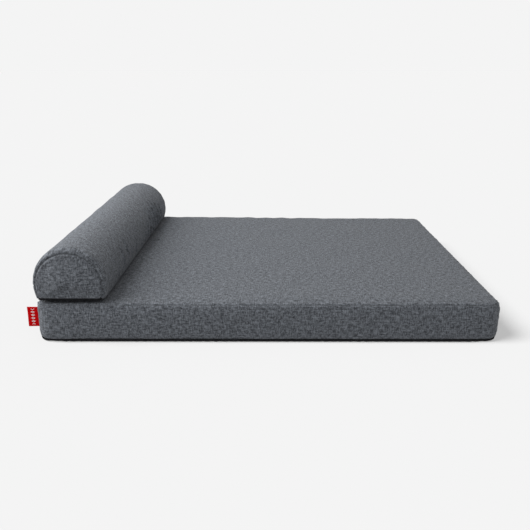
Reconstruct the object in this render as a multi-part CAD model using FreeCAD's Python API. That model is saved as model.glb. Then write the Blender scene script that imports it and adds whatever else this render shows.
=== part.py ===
"""Pet bed: a foam mattress in a zipped fabric cover, with a D-shaped bolster held on by hook-and-loop strips.

Millimetres, +Z up. The origin is the middle of the mattress's footprint, on the floor. +X runs along the
mattress's long side away from the bolster, and -Y is the long side that the owner faces.
"""
import FreeCAD, Part
import math
import os

Vec = FreeCAD.Vector

# Mattress, outside the cover
LENGTH = 910.0
DEPTH = 710.0
THICKNESS = 80.0
CORNER_R = 28.0
TOP_EDGE_R = 10.0
BASE_EDGE_R = 16.0
TOP_SEAM_INSET = 4.0
BASE_SEAM_RISE = 4.0
MEMORY_FOAM_T = 25.0

# Bolster: the D section's widest point is at SIDE_H, and it leans in below that to a flat base
BOLSTER_LENGTH = 702.0
BOLSTER_HALF_W = 72.0
BOLSTER_SIDE_H = 34.0
BOLSTER_SIDE_R = 90.0
BOLSTER_CORNER_R = 12.0
BOLSTER_END_R = 11.0
BOLSTER_END_SEAM = 8.0
BOLSTER_BASE_SEAM = 4.0
BOLSTER_SET_BACK = 1.5

# Layers: cover fabric, waterproof liner, and the slack outside and inside the liner
FABRIC_T = 1.5
COVER_SLACK = 1.5
LINER_T = 0.4
LINER_SLACK = 0.3

# Hook-and-loop strips under the bolster
STRIP_T = 1.2
STRIP_W = 25.0
STRIP_LENGTH = 600.0
STRIP_SPACING = 76.0
STRIP_CORNER_R = 3.0

# Coil zips: the tape shows in a slot, and the chain stands on it
TAPE_W = 12.0
CHAIN_W = 5.0
CHAIN_T = 1.6
STOP_LENGTH = 3.0
STOP_T = 1.9
STOP_OVERHANG = 0.5
STOP_EDGE_R = 0.5
MATTRESS_ZIP = 760.0
BOLSTER_ZIP = 600.0
PARK_GAP = 1.5

# Zip slider and its pull
SLIDER_LENGTH = 13.0
SLIDER_W = 9.2
SLIDER_TOP = 3.4
SLIDER_LIFT = 0.3
SLIDER_CORNER_R = 2.4
CHANNEL_W = 5.8
CHANNEL_TOP = 2.1
CROWN_LENGTH = 6.4
CROWN_W = 3.0
CROWN_TOP = 6.6
CROWN_SINK = 0.4
CROWN_EDGE_R = 1.6
METAL_EDGE_R = 0.35
BAR_Y = 4.8
BAR_R = 0.8
EYE_R = 0.9
PULL_LENGTH = 32.0
PULL_W = 8.4
PULL_WINDOW = 8.5
PULL_WINDOW_W = 4.2
PULL_WINDOW_R = 1.2
PULL_TIP_R = 3.6
PULL_HOLE_R = 1.6
PULL_HOLE_INSET = 5.5

# Woven label, sewn into the upright seam near the front corner
LABEL_REACH = 21.0
LABEL_HEIGHT = 41.0
LABEL_T = 0.8
LABEL_Z = 43.5
LABEL_STAND_OFF = 0.8

HALF_X = LENGTH / 2
HALF_Y = DEPTH / 2
BOLSTER_X = -HALF_X + BOLSTER_HALF_W + BOLSTER_SET_BACK
BOLSTER_Z = THICKNESS + 2 * STRIP_T
SIDE_SEAM_Y = HALF_Y - CORNER_R
LINER_INSET = FABRIC_T + COVER_SLACK
FOAM_INSET = LINER_INSET + LINER_T + LINER_SLACK
BIG = 2000.0


def block(x0, x1, y0, y1, z0, z1):
    """A plain box between two corners."""
    return Part.makeBox(x1 - x0, y1 - y0, z1 - z0, Vec(x0, y0, z0))


def edges_at(shape, axis, value):
    """The edges whose bounding box is flat at one value of an axis."""
    found = []
    for edge in shape.Edges:
        box = edge.BoundBox
        low = getattr(box, axis + "Min")
        high = getattr(box, axis + "Max")
        if abs(low - value) < 1e-4 and abs(high - value) < 1e-4:
            found.append(edge)
    return found


def upright_edges(shape):
    """The edges that run along Z."""
    return [e for e in shape.Edges if e.BoundBox.XLength + e.BoundBox.YLength < 1e-4]


def mattress_block(inset):
    """The mattress's outside shape, taken in by inset all over."""
    shape = block(
        -HALF_X + inset, HALF_X - inset, -HALF_Y + inset, HALF_Y - inset, inset, THICKNESS - inset
    )
    shape = shape.makeFillet(CORNER_R - inset, upright_edges(shape))
    shape = shape.makeFillet(TOP_EDGE_R - inset, edges_at(shape, "Z", THICKNESS - inset))
    return shape.makeFillet(BASE_EDGE_R - inset, edges_at(shape, "Z", inset))


def top_panel_column():
    """The space inside the seam that joins the top panel to the boxing."""
    x = HALF_X - TOP_SEAM_INSET
    y = HALF_Y - TOP_SEAM_INSET
    column = block(-x, x, -y, y, THICKNESS / 2, BIG)
    return column.makeFillet(CORNER_R - TOP_SEAM_INSET, upright_edges(column))


def arc(centre, radius, start, end):
    """An arc in the XZ plane between two angles, in degrees from +X towards +Z."""
    points = []
    for degrees in (start, (start + end) / 2, end):
        turn = math.radians(degrees)
        points.append(
            Vec(centre[0] + radius * math.cos(turn), 0, centre[1] + radius * math.sin(turn))
        )
    return Part.Arc(*points).toShape()


def d_profile(inset):
    """The bolster's D section, taken in by inset: a base, two corners, two leaning sides and a half round."""
    side_x = BOLSTER_HALF_W - BOLSTER_SIDE_R
    drop = BOLSTER_SIDE_H - BOLSTER_CORNER_R
    reach = BOLSTER_SIDE_R - BOLSTER_CORNER_R
    lean = math.degrees(math.asin(drop / reach))
    corner_x = side_x + math.sqrt(reach**2 - drop**2)
    corner_r = BOLSTER_CORNER_R - inset
    side_r = BOLSTER_SIDE_R - inset
    base = Part.LineSegment(Vec(-corner_x, 0, inset), Vec(corner_x, 0, inset)).toShape()
    edges = [
        base,
        arc((corner_x, BOLSTER_CORNER_R), corner_r, -90, -lean),
        arc((side_x, BOLSTER_SIDE_H), side_r, -lean, 0),
        arc((0, BOLSTER_SIDE_H), BOLSTER_HALF_W - inset, 0, 180),
        arc((-side_x, BOLSTER_SIDE_H), side_r, 180, 180 + lean),
        arc((-corner_x, BOLSTER_CORNER_R), corner_r, 180 + lean, 270),
    ]
    return Part.Wire(edges)


def bolster_block(inset):
    """The bolster's outside shape, taken in by inset all over, with rounded ends."""
    length = BOLSTER_LENGTH - 2 * inset
    face = Part.Face(d_profile(inset))
    face.translate(Vec(BOLSTER_X, -length / 2, BOLSTER_Z))
    shape = face.extrude(Vec(0, length, 0))
    ends = edges_at(shape, "Y", -length / 2) + edges_at(shape, "Y", length / 2)
    return shape.makeFillet(BOLSTER_END_R - inset, ends)


def end_panel_column(side):
    """The space inside the seam that joins an end panel to the wrap, at one end of the bolster."""
    face = Part.Face(d_profile(BOLSTER_END_SEAM))
    face.translate(Vec(BOLSTER_X, side * (BOLSTER_LENGTH / 2 - BOLSTER_END_R), BOLSTER_Z))
    return face.extrude(Vec(0, side * BIG, 0))


def on_mattress_rear(shape):
    """Moves a zip piece from its own frame to the middle of the mattress's rear wall."""
    placed = shape.copy()
    placed.translate(Vec(0, HALF_Y, THICKNESS / 2))
    return placed


def on_bolster_side(shape):
    """Moves a zip piece from its own frame to the bolster's outer side, at its widest point."""
    placed = shape.copy()
    placed.rotate(Vec(0, 0, 0), Vec(0, 0, 1), 90)
    placed.translate(Vec(BOLSTER_X - BOLSTER_HALF_W, 0, BOLSTER_Z + BOLSTER_SIDE_H))
    return placed


def zip_slot(length):
    """The region of cover fabric that a zip tape takes, in the zip's frame: +X along it, +Y outwards."""
    end = length / 2 + STOP_LENGTH + TAPE_W
    return block(-end, end, -2 * FABRIC_T, FABRIC_T, -TAPE_W / 2, TAPE_W / 2)


def zip_chain(length):
    """The closed row of coils as one strip with rounded outer edges."""
    chain = block(-length / 2, length / 2, 0, CHAIN_T, -CHAIN_W / 2, CHAIN_W / 2)
    rounded = [e for e in edges_at(chain, "Y", CHAIN_T) if e.BoundBox.XLength > length / 2]
    return chain.makeFillet(CHAIN_T / 2, rounded)


def zip_stops(length):
    """The crimped stops, one at each end of the chain."""
    stops = []
    half_w = CHAIN_W / 2 + STOP_OVERHANG
    for start in (-length / 2 - STOP_LENGTH, length / 2):
        stop = block(start, start + STOP_LENGTH, 0, STOP_T, -half_w, half_w)
        stops.append(stop.makeFillet(STOP_EDGE_R, edges_at(stop, "Y", STOP_T)))
    return Part.makeCompound(stops)


def parked(length):
    """Where the middle of a parked slider is along its zip."""
    return length / 2 - PARK_GAP - SLIDER_LENGTH / 2


def zip_slider(length):
    """The slider's outer plate with its side flanges, and the crown that holds the pull."""
    half = SLIDER_LENGTH / 2
    body = block(-half, half, SLIDER_LIFT, SLIDER_TOP, -SLIDER_W / 2, SLIDER_W / 2)
    corners = [e for e in body.Edges if e.BoundBox.XLength + e.BoundBox.ZLength < 1e-4]
    body = body.makeFillet(SLIDER_CORNER_R, corners)
    body = body.makeFillet(METAL_EDGE_R, edges_at(body, "Y", SLIDER_TOP))
    body = body.cut(block(-BIG, BIG, -1, CHANNEL_TOP, -CHANNEL_W / 2, CHANNEL_W / 2))
    half_crown = CROWN_LENGTH / 2
    crown_foot = SLIDER_TOP - CROWN_SINK
    crown = block(-half_crown, half_crown, crown_foot, CROWN_TOP, -CROWN_W / 2, CROWN_W / 2)
    across = [e for e in edges_at(crown, "Y", CROWN_TOP) if e.BoundBox.ZLength > CROWN_W / 2]
    crown = crown.makeFillet(CROWN_EDGE_R, across)
    eye = Part.makeCylinder(EYE_R, 2 * CROWN_W, Vec(0, BAR_Y, -CROWN_W), Vec(0, 0, 1))
    slider = body.fuse(crown).cut(eye).removeSplitter()
    slider.translate(Vec(parked(length), 0, 0))
    return slider


def zip_pull(length):
    """The pull: a bar in the crown's eye, two legs past the crown, and a tab with a hole near its end."""
    tab = block(-PULL_LENGTH, 0, BAR_Y - BAR_R, BAR_Y + BAR_R, -PULL_W / 2, PULL_W / 2)
    tip = [e for e in edges_at(tab, "X", -PULL_LENGTH) if e.BoundBox.YLength > BAR_R]
    tab = tab.makeFillet(PULL_TIP_R, tip)
    window = block(-PULL_WINDOW, PULL_WINDOW, 0, BIG, -PULL_WINDOW_W / 2, PULL_WINDOW_W / 2)
    inner_corners = [e for e in edges_at(window, "X", -PULL_WINDOW) if e.BoundBox.YLength > BAR_R]
    window = window.makeFillet(PULL_WINDOW_R, inner_corners)
    hole = Part.makeCylinder(PULL_HOLE_R, 2 * BAR_Y, Vec(PULL_HOLE_INSET - PULL_LENGTH, 0, 0), Vec(0, 1, 0))
    bar = Part.makeCylinder(BAR_R, PULL_W, Vec(0, BAR_Y, -PULL_W / 2), Vec(0, 0, 1))
    tab = tab.cut(window).cut(hole)
    rims = edges_at(tab, "Y", BAR_Y - BAR_R) + edges_at(tab, "Y", BAR_Y + BAR_R)
    tab = tab.makeFillet(METAL_EDGE_R, rims)
    pull = tab.fuse(bar).removeSplitter()
    pull.translate(Vec(parked(length), 0, 0))
    return pull


def strips(z):
    """Two hook or loop strips along the bolster, with their undersides at z."""
    made = []
    for side in (-1, 1):
        x = BOLSTER_X + side * STRIP_SPACING / 2
        strip = block(x - STRIP_W / 2, x + STRIP_W / 2, -STRIP_LENGTH / 2, STRIP_LENGTH / 2, z, z + STRIP_T)
        made.append(strip.makeFillet(STRIP_CORNER_R, upright_edges(strip)))
    return Part.makeCompound(made)


def label():
    """The folded woven label, standing out from the left wall, with its root rounded about its seam."""
    root_x = -HALF_X - LABEL_STAND_OFF
    half_t = LABEL_T / 2
    low = LABEL_Z - LABEL_HEIGHT / 2
    flap = block(
        root_x - LABEL_REACH, root_x, -SIDE_SEAM_Y - half_t, -SIDE_SEAM_Y + half_t, low, low + LABEL_HEIGHT
    )
    root = Part.makeCylinder(half_t, LABEL_HEIGHT, Vec(root_x, -SIDE_SEAM_Y, low), Vec(0, 0, 1))
    return flap.fuse(root).removeSplitter()


def mattress_filling():
    """The two foam layers and the liner bag round them."""
    foam = mattress_block(FOAM_INSET)
    split = THICKNESS - FOAM_INSET - MEMORY_FOAM_T
    return {
        "base_foam": foam.common(block(-BIG, BIG, -BIG, BIG, -BIG, split)),
        "memory_foam": foam.common(block(-BIG, BIG, -BIG, BIG, split, BIG)),
        "mattress_liner": mattress_block(LINER_INSET).cut(mattress_block(LINER_INSET + LINER_T)),
    }


def mattress_cover():
    """The cover's fabric panels, cut from one shell along its seams, and its zip tape."""
    shell = mattress_block(0).cut(mattress_block(FABRIC_T))
    column = top_panel_column()
    low = BASE_SEAM_RISE
    middle = THICKNESS / 2
    seam = SIDE_SEAM_Y
    slot = on_mattress_rear(zip_slot(MATTRESS_ZIP))
    boxing = shell.cut(column).common(block(-BIG, BIG, -BIG, BIG, low, BIG))
    rear = boxing.cut(slot)
    return {
        "top_panel": shell.common(column),
        "base_panel": shell.common(block(-BIG, BIG, -BIG, BIG, -BIG, low)),
        "front_boxing": boxing.common(block(-BIG, BIG, -BIG, -seam, low, BIG)),
        "left_boxing": boxing.common(block(-BIG, 0, -seam, seam, low, BIG)),
        "right_boxing": boxing.common(block(0, BIG, -seam, seam, low, BIG)),
        "rear_boxing_upper": rear.common(block(-BIG, BIG, seam, BIG, middle, BIG)),
        "rear_boxing_lower": rear.common(block(-BIG, BIG, seam, BIG, low, middle)),
        "mattress_zip_tape": shell.common(slot),
    }


def bolster_filling():
    """The bolster's foam core and the liner round it."""
    return {
        "bolster_core": bolster_block(FOAM_INSET),
        "bolster_liner": bolster_block(LINER_INSET).cut(bolster_block(LINER_INSET + LINER_T)),
    }


def bolster_cover():
    """The bolster cover's panels: two ends, a base, the wrap over the top and the strip under the zip."""
    shell = bolster_block(0).cut(bolster_block(FABRIC_T))
    front = end_panel_column(-1)
    rear = end_panel_column(1)
    floor = BOLSTER_Z + BOLSTER_BASE_SEAM
    zip_z = BOLSTER_Z + BOLSTER_SIDE_H
    slot = on_bolster_side(zip_slot(BOLSTER_ZIP))
    tube = shell.cut(front).cut(rear)
    sides = tube.cut(slot).common(block(-BIG, BIG, -BIG, BIG, floor, BIG))
    below_zip = block(-BIG, BOLSTER_X, -BIG, BIG, -BIG, zip_z)
    return {
        "bolster_front_end": shell.common(front),
        "bolster_rear_end": shell.common(rear),
        "bolster_base_panel": tube.common(block(-BIG, BIG, -BIG, BIG, -BIG, floor)),
        "bolster_wrap": sides.cut(below_zip),
        "bolster_zip_strip": sides.common(below_zip),
        "bolster_zip_tape": tube.common(slot),
    }


def zip_hardware(name, length, place):
    """The chain, stops, slider and pull of one zip, in place."""
    pieces = {"chain": zip_chain, "stops": zip_stops, "slider": zip_slider, "pull": zip_pull}
    return {f"{name}_zip_{piece}": place(make(length)) for piece, make in pieces.items()}


def fastening():
    """The loop strips sewn to the mattress's top and the hook strips sewn to the bolster's base."""
    return {"loop_strips": strips(THICKNESS), "hook_strips": strips(THICKNESS + STRIP_T)}


def main():
    """Builds every node, reports its size and writes its STEP file."""
    nodes = {}
    nodes.update(mattress_filling())
    nodes.update(mattress_cover())
    nodes.update(zip_hardware("mattress", MATTRESS_ZIP, on_mattress_rear))
    nodes.update(bolster_filling())
    nodes.update(bolster_cover())
    nodes.update(zip_hardware("bolster", BOLSTER_ZIP, on_bolster_side))
    nodes.update(fastening())
    nodes["woven_label"] = label()
    os.makedirs("parts", exist_ok=True)
    for name, shape in nodes.items():
        solids = shape.Solids
        litres = sum(s.Volume for s in solids) / 1e6
        print(f"{name}: {len(solids)} solids, {litres:.4f} litres, valid {shape.isValid()}")
        shape.exportStep(f"parts/{name}.step")


main()
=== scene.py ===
"""The looks of a bolster pet bed: its sewn covers, zips, label, fastening and filling, in a plain studio.

Metres, in the frame of the CAD model: +Z up, +X along the mattress away from the bolster, -Y the near side.
Every cover is laid out as cloth. A point of it has a place and an outward direction on the pad's plain shape,
and a height along that direction, which adds up the swell of the filling, the seams and the creases.
"""

import logging
import math
from dataclasses import dataclass, field
from enum import Enum

import bmesh
import bpy
import numpy as np
from mathutils import Matrix, Vector
from mathutils.bvhtree import BVHTree
from mathutils.kdtree import KDTree


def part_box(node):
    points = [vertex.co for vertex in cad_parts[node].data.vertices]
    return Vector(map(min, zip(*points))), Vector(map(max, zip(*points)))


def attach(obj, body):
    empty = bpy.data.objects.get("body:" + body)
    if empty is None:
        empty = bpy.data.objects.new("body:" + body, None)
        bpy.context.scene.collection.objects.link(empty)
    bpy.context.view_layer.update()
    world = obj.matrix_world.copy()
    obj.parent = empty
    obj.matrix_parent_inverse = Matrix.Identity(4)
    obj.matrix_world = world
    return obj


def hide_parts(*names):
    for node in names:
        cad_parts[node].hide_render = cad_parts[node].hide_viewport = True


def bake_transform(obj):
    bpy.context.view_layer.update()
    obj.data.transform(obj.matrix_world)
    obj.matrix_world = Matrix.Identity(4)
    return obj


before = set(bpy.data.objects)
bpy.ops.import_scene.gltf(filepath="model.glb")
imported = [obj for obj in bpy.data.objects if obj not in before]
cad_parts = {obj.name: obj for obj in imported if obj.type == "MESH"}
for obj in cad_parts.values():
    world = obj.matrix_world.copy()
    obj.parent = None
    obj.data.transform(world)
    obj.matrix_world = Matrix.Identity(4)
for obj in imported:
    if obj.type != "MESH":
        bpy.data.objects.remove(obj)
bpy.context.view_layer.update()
LOG = logging.getLogger("pet_bed")

Array = np.ndarray
Colour = tuple[float, float, float, float]
Socket = bpy.types.NodeSocket

# The spacing of a panel's rows away from its edges, and its first rows beside a seam.
CLOTH_STEP = 0.005
SEAM_STEPS = np.array([0, 0.8, 1.6, 2.6, 4.0, 6.0]) / 1000
# The first rows of a rounded grid inside its edge, as shares of the radius of its corners.
EDGE_STEPS = np.array([0, 0.03, 0.065, 0.105, 0.155, 0.22, 0.31, 0.42, 0.55, 0.7, 0.85, 1.0])
# The lowest that a seam or crease may draw the cloth, which keeps it clear of the foam.
DEEPEST = -0.0026
# How far a topstitch is from the middle of its zip, and how far a stitch stands off the cloth.
TOPSTITCH_GAP = 0.010
THREAD_LIFT = 0.0001
# How far before the end of its tape a zip's mouth starts to close, and how far past it that ends.
MOUTH_INSIDE = 0.010
MOUTH_PAST = 0.004


def grey(red: float, green: float, blue: float) -> Colour:
    """Gives a colour in linear light as the four numbers that a colour socket takes.

    Args:
        red: Red, 0 to 1.
        green: Green, 0 to 1.
        blue: Blue, 0 to 1.

    Returns:
        The colour, opaque.
    """
    return (red, green, blue, 1.0)


def smooth_step(value: Array, low: float, high: float) -> Array:
    """Rises smoothly from 0 at low to 1 at high.

    Args:
        value: The numbers to map.
        low: Where the rise starts.
        high: Where it ends, which may be under low.

    Returns:
        Numbers from 0 to 1.
    """
    share = np.clip((value - low) / (high - low), 0, 1)
    return share * share * (3 - 2 * share)


# ---------------- uneven cloth


@dataclass(frozen=True)
class Ripple:
    """A soft uneven wave, the same each time for one seed.

    Attributes:
        wavelength: Its usual wavelength.
        seed: What its phases and directions are drawn from.
        strands: How many plain waves it adds up.
    """

    wavelength: float
    seed: int
    strands: int = 6

    def along(self, length: Array) -> Array:
        """Gives the wave along one length.

        Args:
            length: Places along the length.

        Returns:
            Heights, mostly between -1 and 1.
        """
        return self.over(length, np.zeros_like(length), turning=0.0)

    def over(self, across: Array, up: Array, turning: float = math.pi) -> Array:
        """Gives the wave over a surface.

        Args:
            across: Places along the first length.
            up: Places along the second length.
            turning: How far each strand may turn away from the first length.

        Returns:
            Heights, mostly between -1 and 1.
        """
        draw = np.random.default_rng(self.seed)
        total = np.zeros_like(across, dtype=float)
        for _ in range(self.strands):
            turn = draw.uniform(0, turning) if turning else 0.0
            number = 2 * math.pi / (self.wavelength * draw.uniform(0.6, 1.7))
            phase = draw.uniform(0, 2 * math.pi)
            total += np.sin(number * (across * math.cos(turn) + up * math.sin(turn)) + phase)
        return total / math.sqrt(self.strands * 0.7)


@dataclass(frozen=True)
class Seam:
    """The relief that a sewn seam leaves in the cloth beside it.

    Attributes:
        depth: How far the cloth is drawn in at the stitches.
        width: How far from the stitches that fades.
        roll: How far the cloth stands up just beside it.
        gather: The height of the little puckers beside it.
        gather_length: Their usual spacing along the seam.
        gather_reach: How far from the seam they fade.
        seed: What the puckers are drawn from.
    """

    depth: float = 0.0013
    width: float = 0.0013
    roll: float = 0.0004
    gather: float = 0.00045
    gather_length: float = 0.012
    gather_reach: float = 0.009
    seed: int = 1

    def relief(self, distance: Array, along: Array) -> Array:
        """Gives the heights of the cloth near the seam.

        Args:
            distance: How far each point is from the seam, along the cloth.
            along: Where each point is along the seam.

        Returns:
            Heights, in metres.
        """
        cut = -self.depth * np.exp(-((distance / self.width) ** 2))
        roll = self.roll * np.exp(-(((distance - 0.004) / 0.0025) ** 2))
        fade = np.exp(-distance / self.gather_reach) * smooth_step(distance, 0.0, 0.003)
        waves = Ripple(self.gather_length, self.seed).along(along)
        return cut + roll + self.gather * fade * waves


@dataclass(frozen=True)
class Crease:
    """One soft fold that starts at a point and runs a short way over the cloth.

    Attributes:
        start: Where it starts, as two cloth lengths.
        end: Where it ends.
        width: Half its width.
        height: Its height, and under 0 a furrow.
    """

    start: tuple[float, float]
    end: tuple[float, float]
    width: float
    height: float

    def relief(self, across: Array, up: Array) -> Array:
        """Gives the fold's heights.

        Args:
            across: Places along the first cloth length.
            up: Places along the second.

        Returns:
            Heights, in metres.
        """
        run = np.array(self.end) - np.array(self.start)
        size = float(np.hypot(*run))
        gone = ((across - self.start[0]) * run[0] + (up - self.start[1]) * run[1]) / size**2
        aside = ((across - self.start[0]) * run[1] - (up - self.start[1]) * run[0]) / size
        taper = smooth_step(gone, -0.08, 0.12) * smooth_step(gone, 1.05, 0.35)
        ridge = 0.8 * np.exp(-((aside / self.width) ** 2))
        furrow = np.exp(-(((aside - 1.7 * self.width) / self.width) ** 2))
        return self.height * taper * (ridge - furrow)


# ---------------- meshes


def applied_mesh(piece: bpy.types.Object) -> bpy.types.Mesh:
    """Gives a piece's mesh with its modifiers applied."""
    graph = bpy.context.evaluated_depsgraph_get()
    return bpy.data.meshes.new_from_object(piece.evaluated_get(graph))


def mesh_piece(name: str, points: Array, faces: list, lengths: Array | None = None) -> bpy.types.Object:
    """Makes a mesh object and links it.

    Args:
        name: The piece's name.
        points: Its vertices, one row each.
        faces: Lists of vertex numbers.
        lengths: Two cloth lengths for each vertex, kept as a UV map.

    Returns:
        The new object.
    """
    mesh = bpy.data.meshes.new(name)
    mesh.from_pydata(points.tolist(), [], faces)
    mesh.validate()
    if lengths is not None:
        corners = np.empty(len(mesh.loops), dtype=np.int32)
        mesh.loops.foreach_get("vertex_index", corners)
        mesh.uv_layers.new(name="cloth").data.foreach_set("uv", lengths[corners].ravel())
    mesh.shade_smooth()
    piece = bpy.data.objects.new(name, mesh)
    bpy.context.scene.collection.objects.link(piece)
    return piece


def grid_faces(rows: int, columns: int, flip: bool, closed: bool = False) -> list[tuple[int, ...]]:
    """Lists the quads of a grid of vertices that is stored row by row.

    Args:
        rows: How many rows it has.
        columns: How many columns.
        flip: Whether the faces turn the other way.
        closed: Whether the last column joins the first.

    Returns:
        The quads.
    """
    across = columns if closed else columns - 1
    number = np.arange(rows * columns).reshape(rows, columns)
    right = np.roll(number, -1, axis=1)
    quads = [number[:-1, :across], right[:-1, :across], right[1:, :across], number[1:, :across]]
    if flip:
        quads.reverse()
    return [tuple(quad) for quad in np.stack(quads, axis=-1).reshape(-1, 4).tolist()]


def grid_piece(name: str, points: Array, lengths: Array, flip: bool = False) -> bpy.types.Object:
    """Makes a sheet from a grid of points.

    Args:
        name: The piece's name.
        points: Its vertices, by row and column.
        lengths: Their cloth lengths, by row and column.
        flip: Whether the faces turn the other way.

    Returns:
        The new object.
    """
    rows, columns = points.shape[:2]
    faces = grid_faces(rows, columns, flip)
    return mesh_piece(name, points.reshape(-1, 3), faces, lengths.reshape(-1, 2))


def repeated_piece(name: str, model: tuple[Array, list], places: Array, turns: Array) -> bpy.types.Object:
    """Makes one mesh out of many copies of a small one.

    Args:
        name: The piece's name.
        model: The small mesh's vertices and faces.
        places: Where each copy goes.
        turns: The three axes of each copy, as the columns of a 3 by 3 matrix.

    Returns:
        The new object.
    """
    points, faces = model
    placed = np.einsum("nij,vj->nvi", turns, points) + places[:, None, :]
    step = len(points)
    every = [tuple(v + copy * step for v in face) for copy in range(len(places)) for face in faces]
    return mesh_piece(name, placed.reshape(-1, 3), every)


def capsule(length: float, width: float, height: float, sides: int = 6) -> tuple[Array, list]:
    """A small rounded bar along X, to be repeated.

    Args:
        length: Its length.
        width: Its width, along Y.
        height: Its height, along Z.
        sides: How many sides it has.

    Returns:
        Its vertices and faces.
    """
    stations = [(-0.5, 0.45), (-0.34, 0.9), (0.0, 1.0), (0.34, 0.9), (0.5, 0.45)]
    turn = np.arange(sides) * 2 * math.pi / sides
    rings = [
        np.stack(
            [
                np.full(sides, along * length),
                np.cos(turn) * width / 2 * girth,
                np.sin(turn) * height / 2 * girth,
            ],
            axis=1,
        )
        for along, girth in stations
    ]
    faces = grid_faces(len(stations), sides, flip=False, closed=True)
    last = (len(stations) - 1) * sides
    faces.append(tuple(range(sides)))
    faces.append(tuple(reversed(range(last, last + sides))))
    return np.concatenate(rings), faces


def axes_from(forward: Array, up: Array) -> Array:
    """Turns a direction of travel and an outward direction into three axes for each copy.

    Args:
        forward: The X axis of each copy.
        up: The Z axis of each copy.

    Returns:
        A 3 by 3 matrix for each copy.
    """
    side = np.cross(up, forward)
    return np.stack([forward, side, up], axis=-1)


def stitches(name: str, line: Array, outward: Array, pitch: float) -> bpy.types.Object:
    """Sews a row of stitches along a line.

    Args:
        name: The piece's name.
        line: Points along the row.
        outward: The cloth's outward direction at each of them.
        pitch: The length of one stitch and the gap after it.

    Returns:
        The new object.
    """
    steps = np.linalg.norm(np.diff(line, axis=0), axis=1)
    gone = np.concatenate([[0], np.cumsum(steps)])
    middles = np.arange(pitch, gone[-1] - pitch, pitch)
    places = np.stack([np.interp(middles, gone, line[:, k]) for k in range(3)], axis=1)
    before = np.stack([np.interp(middles - pitch / 2, gone, line[:, k]) for k in range(3)], axis=1)
    forward = places - before
    forward /= np.linalg.norm(forward, axis=1, keepdims=True)
    up = np.stack([np.interp(middles, gone, outward[:, k]) for k in range(3)], axis=1)
    up -= forward * np.sum(up * forward, axis=1, keepdims=True)
    up /= np.linalg.norm(up, axis=1, keepdims=True)
    thread = capsule(pitch * 0.82, 0.00055, 0.0005)
    return repeated_piece(name, thread, places, axes_from(forward, up))


# ---------------- cloth simulation


@dataclass(frozen=True)
class Filling:
    """How a pad's filling swells its cover, for the cloth simulation.

    Attributes:
        voxel: The size of the simulated cloth's faces.
        inset: How much smaller than the pad the cover starts.
        pressure: The push of the filling.
        ease: By what share the cloth is cut larger than the pad.
        side_cap: How far the long faces may swell.
        end_cap: How far the faces towards +Y and -Y may swell.
        frames: How many steps it settles for.
    """

    voxel: float
    inset: float
    pressure: float
    ease: float
    side_cap: float
    end_cap: float
    frames: int = 20

    def settle(self, name: str, points: Array, faces: list, seams: Array) -> BVHTree | None:
        """Swells a closed cover that is held at its seams.

        Args:
            name: A name for the passing objects.
            points: The cover's vertices, already inset.
            faces: Its faces.
            seams: Points along its seams, which stay in place.

        Returns:
            The swollen surface.
        """
        rough = mesh_piece(name, points, faces)
        merge = bmesh.new()
        merge.from_mesh(rough.data)
        bmesh.ops.remove_doubles(merge, verts=merge.verts, dist=0.0002)
        bmesh.ops.recalc_face_normals(merge, faces=merge.faces)
        merge.to_mesh(rough.data)
        merge.free()
        even = rough.modifiers.new("even", "REMESH")
        even.mode = "VOXEL"
        even.voxel_size = self.voxel
        cloth = bpy.data.objects.new(name + "_cloth", applied_mesh(rough))
        bpy.context.scene.collection.objects.link(cloth)
        start = self._places(cloth.data)
        self._hold(cloth, start, seams)
        self._step(cloth)
        swollen = applied_mesh(cloth)
        moved = self._places(swollen) - start
        size = np.linalg.norm(moved, axis=1, keepdims=True)
        cap = np.where(np.abs(moved[:, 1:2]) > 0.7 * size, self.end_cap, self.side_cap)
        moved *= np.minimum(1, cap / np.maximum(size, 1e-9))
        swollen.vertices.foreach_set("co", (start + moved).ravel())
        swollen.update()
        cloth.modifiers.clear()
        cloth.data = swollen
        finer = cloth.modifiers.new("finer", "SUBSURF")
        finer.levels = 1
        tree = BVHTree.FromObject(cloth, bpy.context.evaluated_depsgraph_get())
        for passing in (rough, cloth):
            bpy.data.objects.remove(passing)
        return tree

    def _hold(self, cloth: bpy.types.Object, start: Array, seams: Array) -> None:
        """Pins the cloth where its seams are."""
        near = KDTree(len(seams))
        for index, point in enumerate(seams):
            near.insert(point, index)
        near.balance()
        reach = self.voxel * 0.8
        held = [i for i, point in enumerate(start) if near.find(point)[2] < reach]
        cloth.vertex_groups.new(name="held").add(held, 1.0, "REPLACE")

    def _step(self, cloth: bpy.types.Object) -> None:
        """Adds Blender's cloth and steps through its frames."""
        sim = cloth.modifiers.new("swell", "CLOTH")
        sim.settings.quality = 5
        sim.settings.use_pressure = True
        sim.settings.uniform_pressure_force = self.pressure
        sim.settings.shrink_min = -self.ease
        sim.settings.bending_stiffness = 0.8
        sim.settings.vertex_group_mass = "held"
        sim.settings.effector_weights.gravity = 0
        sim.collision_settings.use_collision = False
        for step in range(1, self.frames + 1):
            bpy.context.scene.frame_set(step)

    @staticmethod
    def _places(mesh: bpy.types.Mesh) -> Array:
        """Gives a mesh's vertices, one row each."""
        flat = np.empty(len(mesh.vertices) * 3)
        mesh.vertices.foreach_get("co", flat)
        return flat.reshape(-1, 3)


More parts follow.
